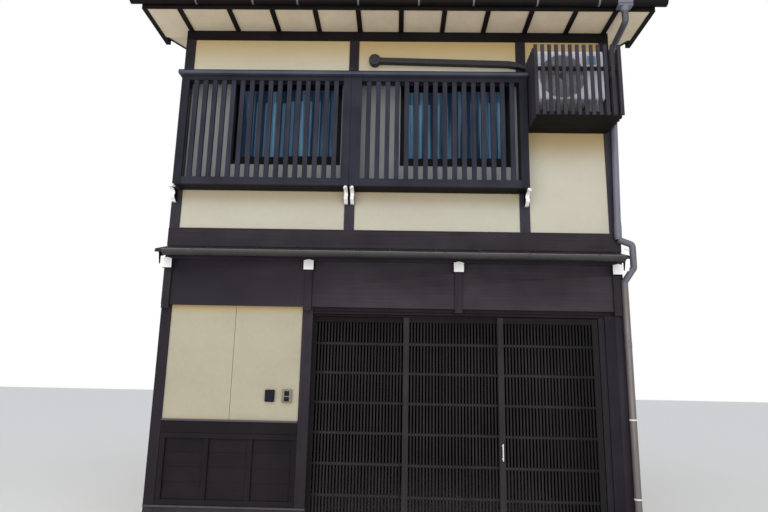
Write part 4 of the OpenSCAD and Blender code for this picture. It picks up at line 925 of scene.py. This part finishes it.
def rainwater_pipe():
    """The pipe in four lengths from the eaves to the ground, its collecting head, sleeves and clips."""
    upper, lower, white, top, jog = range(5)                        # slots
    bm = bmesh.new()
    # The top length takes the darker vinyl as painted shade under the eaves
    pipe(bm, ((HEAD_X, HEAD_Y, 5350.0), (HEAD_X, HEAD_Y, 5228.0), (HEAD_X, PIPE_Y, 5149.0), PIPE_JOINT),
         PIPE_R, PIPE_BEND, top)
    pipe(bm, (PIPE_JOINT, JOG_TOP), PIPE_R, PIPE_BEND, upper)
    route = (JOG_TOP, (2423.0, PIPE_Y, 2990.0), (2423.0, PIPE_Y, 2753.0), (2322.0, PIPE_Y, 2608.0), JOG_FOOT)
    pipe(bm, route, PIPE_R, PIPE_BEND, jog)
    pipe(bm, (JOG_FOOT, (2322.0, PIPE_Y, 60.0)), PIPE_R, PIPE_BEND, lower)
    # Collecting head: a tapered funnel with a lid and a sleeve that wraps the gutter
    left, right = HEAD_X - 75.0, HEAD_X + 75.0
    board(bm, (left, HEAD_Y - 51.0, 5385.0), (right, HEAD_Y + 51.0, 5403.0), 6.0, upper, segments=2)
    rod(bm, (HEAD_X, HEAD_Y, 5386.0), (HEAD_X, HEAD_Y, 5340.0), 51.0, upper, end_radius=PIPE_R + 2)
    y, brim = HEAD_Y + 2.0, EAVES_GUTTER[1]
    swept(bm, (left, y + 50.2, brim), (right, y + 51.6, brim), (0, y, brim), (1, 0, 0), -180, 20, upper)
    # Sleeves where lengths meet, and white clips: (x, middle's z, half height, past the pipe, slot)
    for x, z, half, proud, slot in (
            (2322.0, 1985.0, 26.0, 2.0, lower), (2322.0, 1278.0, 7.0, 3.0, white),
            (2322.0, 566.0, 7.0, 3.0, white), (2289.0, 3200.0, 26.0, 2.5, upper),
            (2330.0, 4795.0, 26.0, 2.5, upper)):
        rod(bm, (x, PIPE_Y, z - half), (x, PIPE_Y, z + half), PIPE_R + proud, slot, ease=1.0)
    rod(bm, (2285.5, PIPE_Y, 3058.0), (2289.5, PIPE_Y, 3190.0), PIPE_R + 4.0, upper, ease=1.5)
    tilt = Matrix.Rotation(math.radians(22.0), 4, "Y")
    tilt.translation = Vector((2364.0, PIPE_Y, 2938.0)) * MM
    board(bm, (-29.0, -4.0, -7.0), (29.0, 4.0, 7.0), 2.0, white, tilt)
    materials = [PIPE_UPPER, PIPE_LOWER, WHITE_PLASTIC, PIPE_TOP_SHADE, PIPE_JOG]
    finish("rainwater_pipe_run", bm, materials, stands_for=("downpipe",))


rainwater_pipe()


# ---- Roof sheets and canopy sheets ----

ROOF_SEAMS = [-2502.5 + i * 455.0 for i in range(12)]
CANOPY_SEAMS = [-2290.0 + i * 454.0 for i in range(11)]


def up_slope(side, p_edge, z_edge, slope):
    """Matrix that lays a piece drawn level, running back from the roof's edge, on the slope."""
    lean = Matrix.Rotation(math.atan(slope), 4, "X")
    lean.translation = Vector((0.0, out(p_edge), z_edge)) * MM
    return facing(side) @ lean


bm = bmesh.new()
roof_run = (ROOF_EDGE_P - FRONT) / math.cos(math.atan(ROOF_SLOPE))
for side in (1, -1):
    turn = up_slope(side, ROOF_EDGE_P, ROOF_TOP, ROOF_SLOPE)
    for x in ROOF_SEAMS:
        board(bm, (x - 7.0, 0.0, -1.0), (x + 7.0, roof_run - 150.0, 24.0), 2.0, 0, turn)
finish("roof_seams", bm, [ROOF_METAL])
bm = bmesh.new()
turn = up_slope(1, 370.0, 2807.0, CANOPY_SLOPE)
for x in CANOPY_SEAMS:
    board(bm, (x - 6.0, 1.0, -1.0), (x + 6.0, 370.0, 5.0), 1.5, 0, turn)
finish("canopy_sheet_seams", bm, [ROOF_METAL])


# ---- Boxes by the garage ----

def entry_boxes():
    """A dark box with rounded corners, and a door station with a lens over a button."""
    wall, dark, trim = out(-PLASTER_SET), 0, 1                      # dark and trim are slots
    bm = bmesh.new()
    x, z = POSTS[0] + 1050.0, 1432.0
    board(bm, (x + 3.0, wall - 33.0, z - 58.5), (x + 97.0, wall, z + 58.5), 10.0, dark, segments=3)
    board(bm, (x + 12.0, wall - 34.0, z - 49.5), (x + 88.0, wall - 30.0, z + 49.5), 1.5, dark)
    x = POSTS[0] + 1222.0
    board(bm, (x, wall - 30.0, z - 63.0), (x + 94.0, wall, z + 63.0), 4.0, trim, segments=2)
    for low, high in ((z - 51.0, z - 7.0), (z + 1.0, z + 49.0)):
        board(bm, (x + 22.0, wall - 32.0, low), (x + 72.0, wall - 20.0, high), 3.0, dark, segments=2)
    rod(bm, (x + 47.0, wall - 31.5, z + 25.0), (x + 47.0, wall - 34.0, z + 25.0), 12.0, dark, 32, ease=0.8)
    board(bm, (x + 34.0, wall - 34.0, z - 38.0), (x + 60.0, wall - 31.0, z - 20.0), 1.2, dark)
    finish("entry_boxes_detail", bm, [BOX_PLASTIC, STATION_TRIM], stands_for=("entry_boxes",))


entry_boxes()


# ---- Pull on the right leaf ----

low, high = corners_of("pull_handle")
mid_x, grip_y = (low.x + high.x) / 2, low.y + 6.0
bm = bmesh.new()
rod(bm, (mid_x, grip_y, low.z), (mid_x, grip_y, high.z), 6.0, 0, 32, ease=2.5)
for z in (low.z + 19.0, high.z - 19.0):
    rod(bm, (mid_x, high.y, z), (mid_x, grip_y, z), 4.5)
    rod(bm, (mid_x, high.y, z), (mid_x, high.y - 2.5, z), 8.0, ease=0.8)
finish("pull_grip", bm, [WHITE_PLASTIC], "right_leaf", ("pull_handle",))


# ---- CAD nodes that stay, with their finishes ----

for node, material in (
        ("garage_floor", CONCRETE), ("drip_flashings", DRIP_METAL), ("ground_wall", GROUND_BOARD),
        ("floor_rails", RAIL_STEEL), ("upper_wall", UPPER_PLASTER), ("window_glass", GLASS),
        ("party_walls", PARTY_PLASTER), ("upper_floor", FLOOR_TIMBER), ("roof_front", ROOF_METAL),
        ("roof_rear", ROOF_METAL), ("eaves_boards", SOFFIT_BOARD)):
    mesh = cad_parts[node].data
    mesh.materials.clear()
    mesh.materials.append(material)


# ---- Floor ----

bm = bmesh.new()
bmesh.ops.create_grid(bm, x_segments=1, y_segments=1, size=60.0)
mesh = bpy.data.meshes.new("studio_floor")
bm.to_mesh(mesh)
bm.free()
paint, _, shader = start("studio_floor_paint", 0.9, ior=1.45)
shader.inputs["Base Color"].default_value = linear("#f4f4f2")
mesh.materials.append(paint)
floor = bpy.data.objects.new("studio_floor", mesh)
bpy.context.scene.collection.objects.link(floor)

bpy.context.scene.view_settings.view_transform = "Standard"
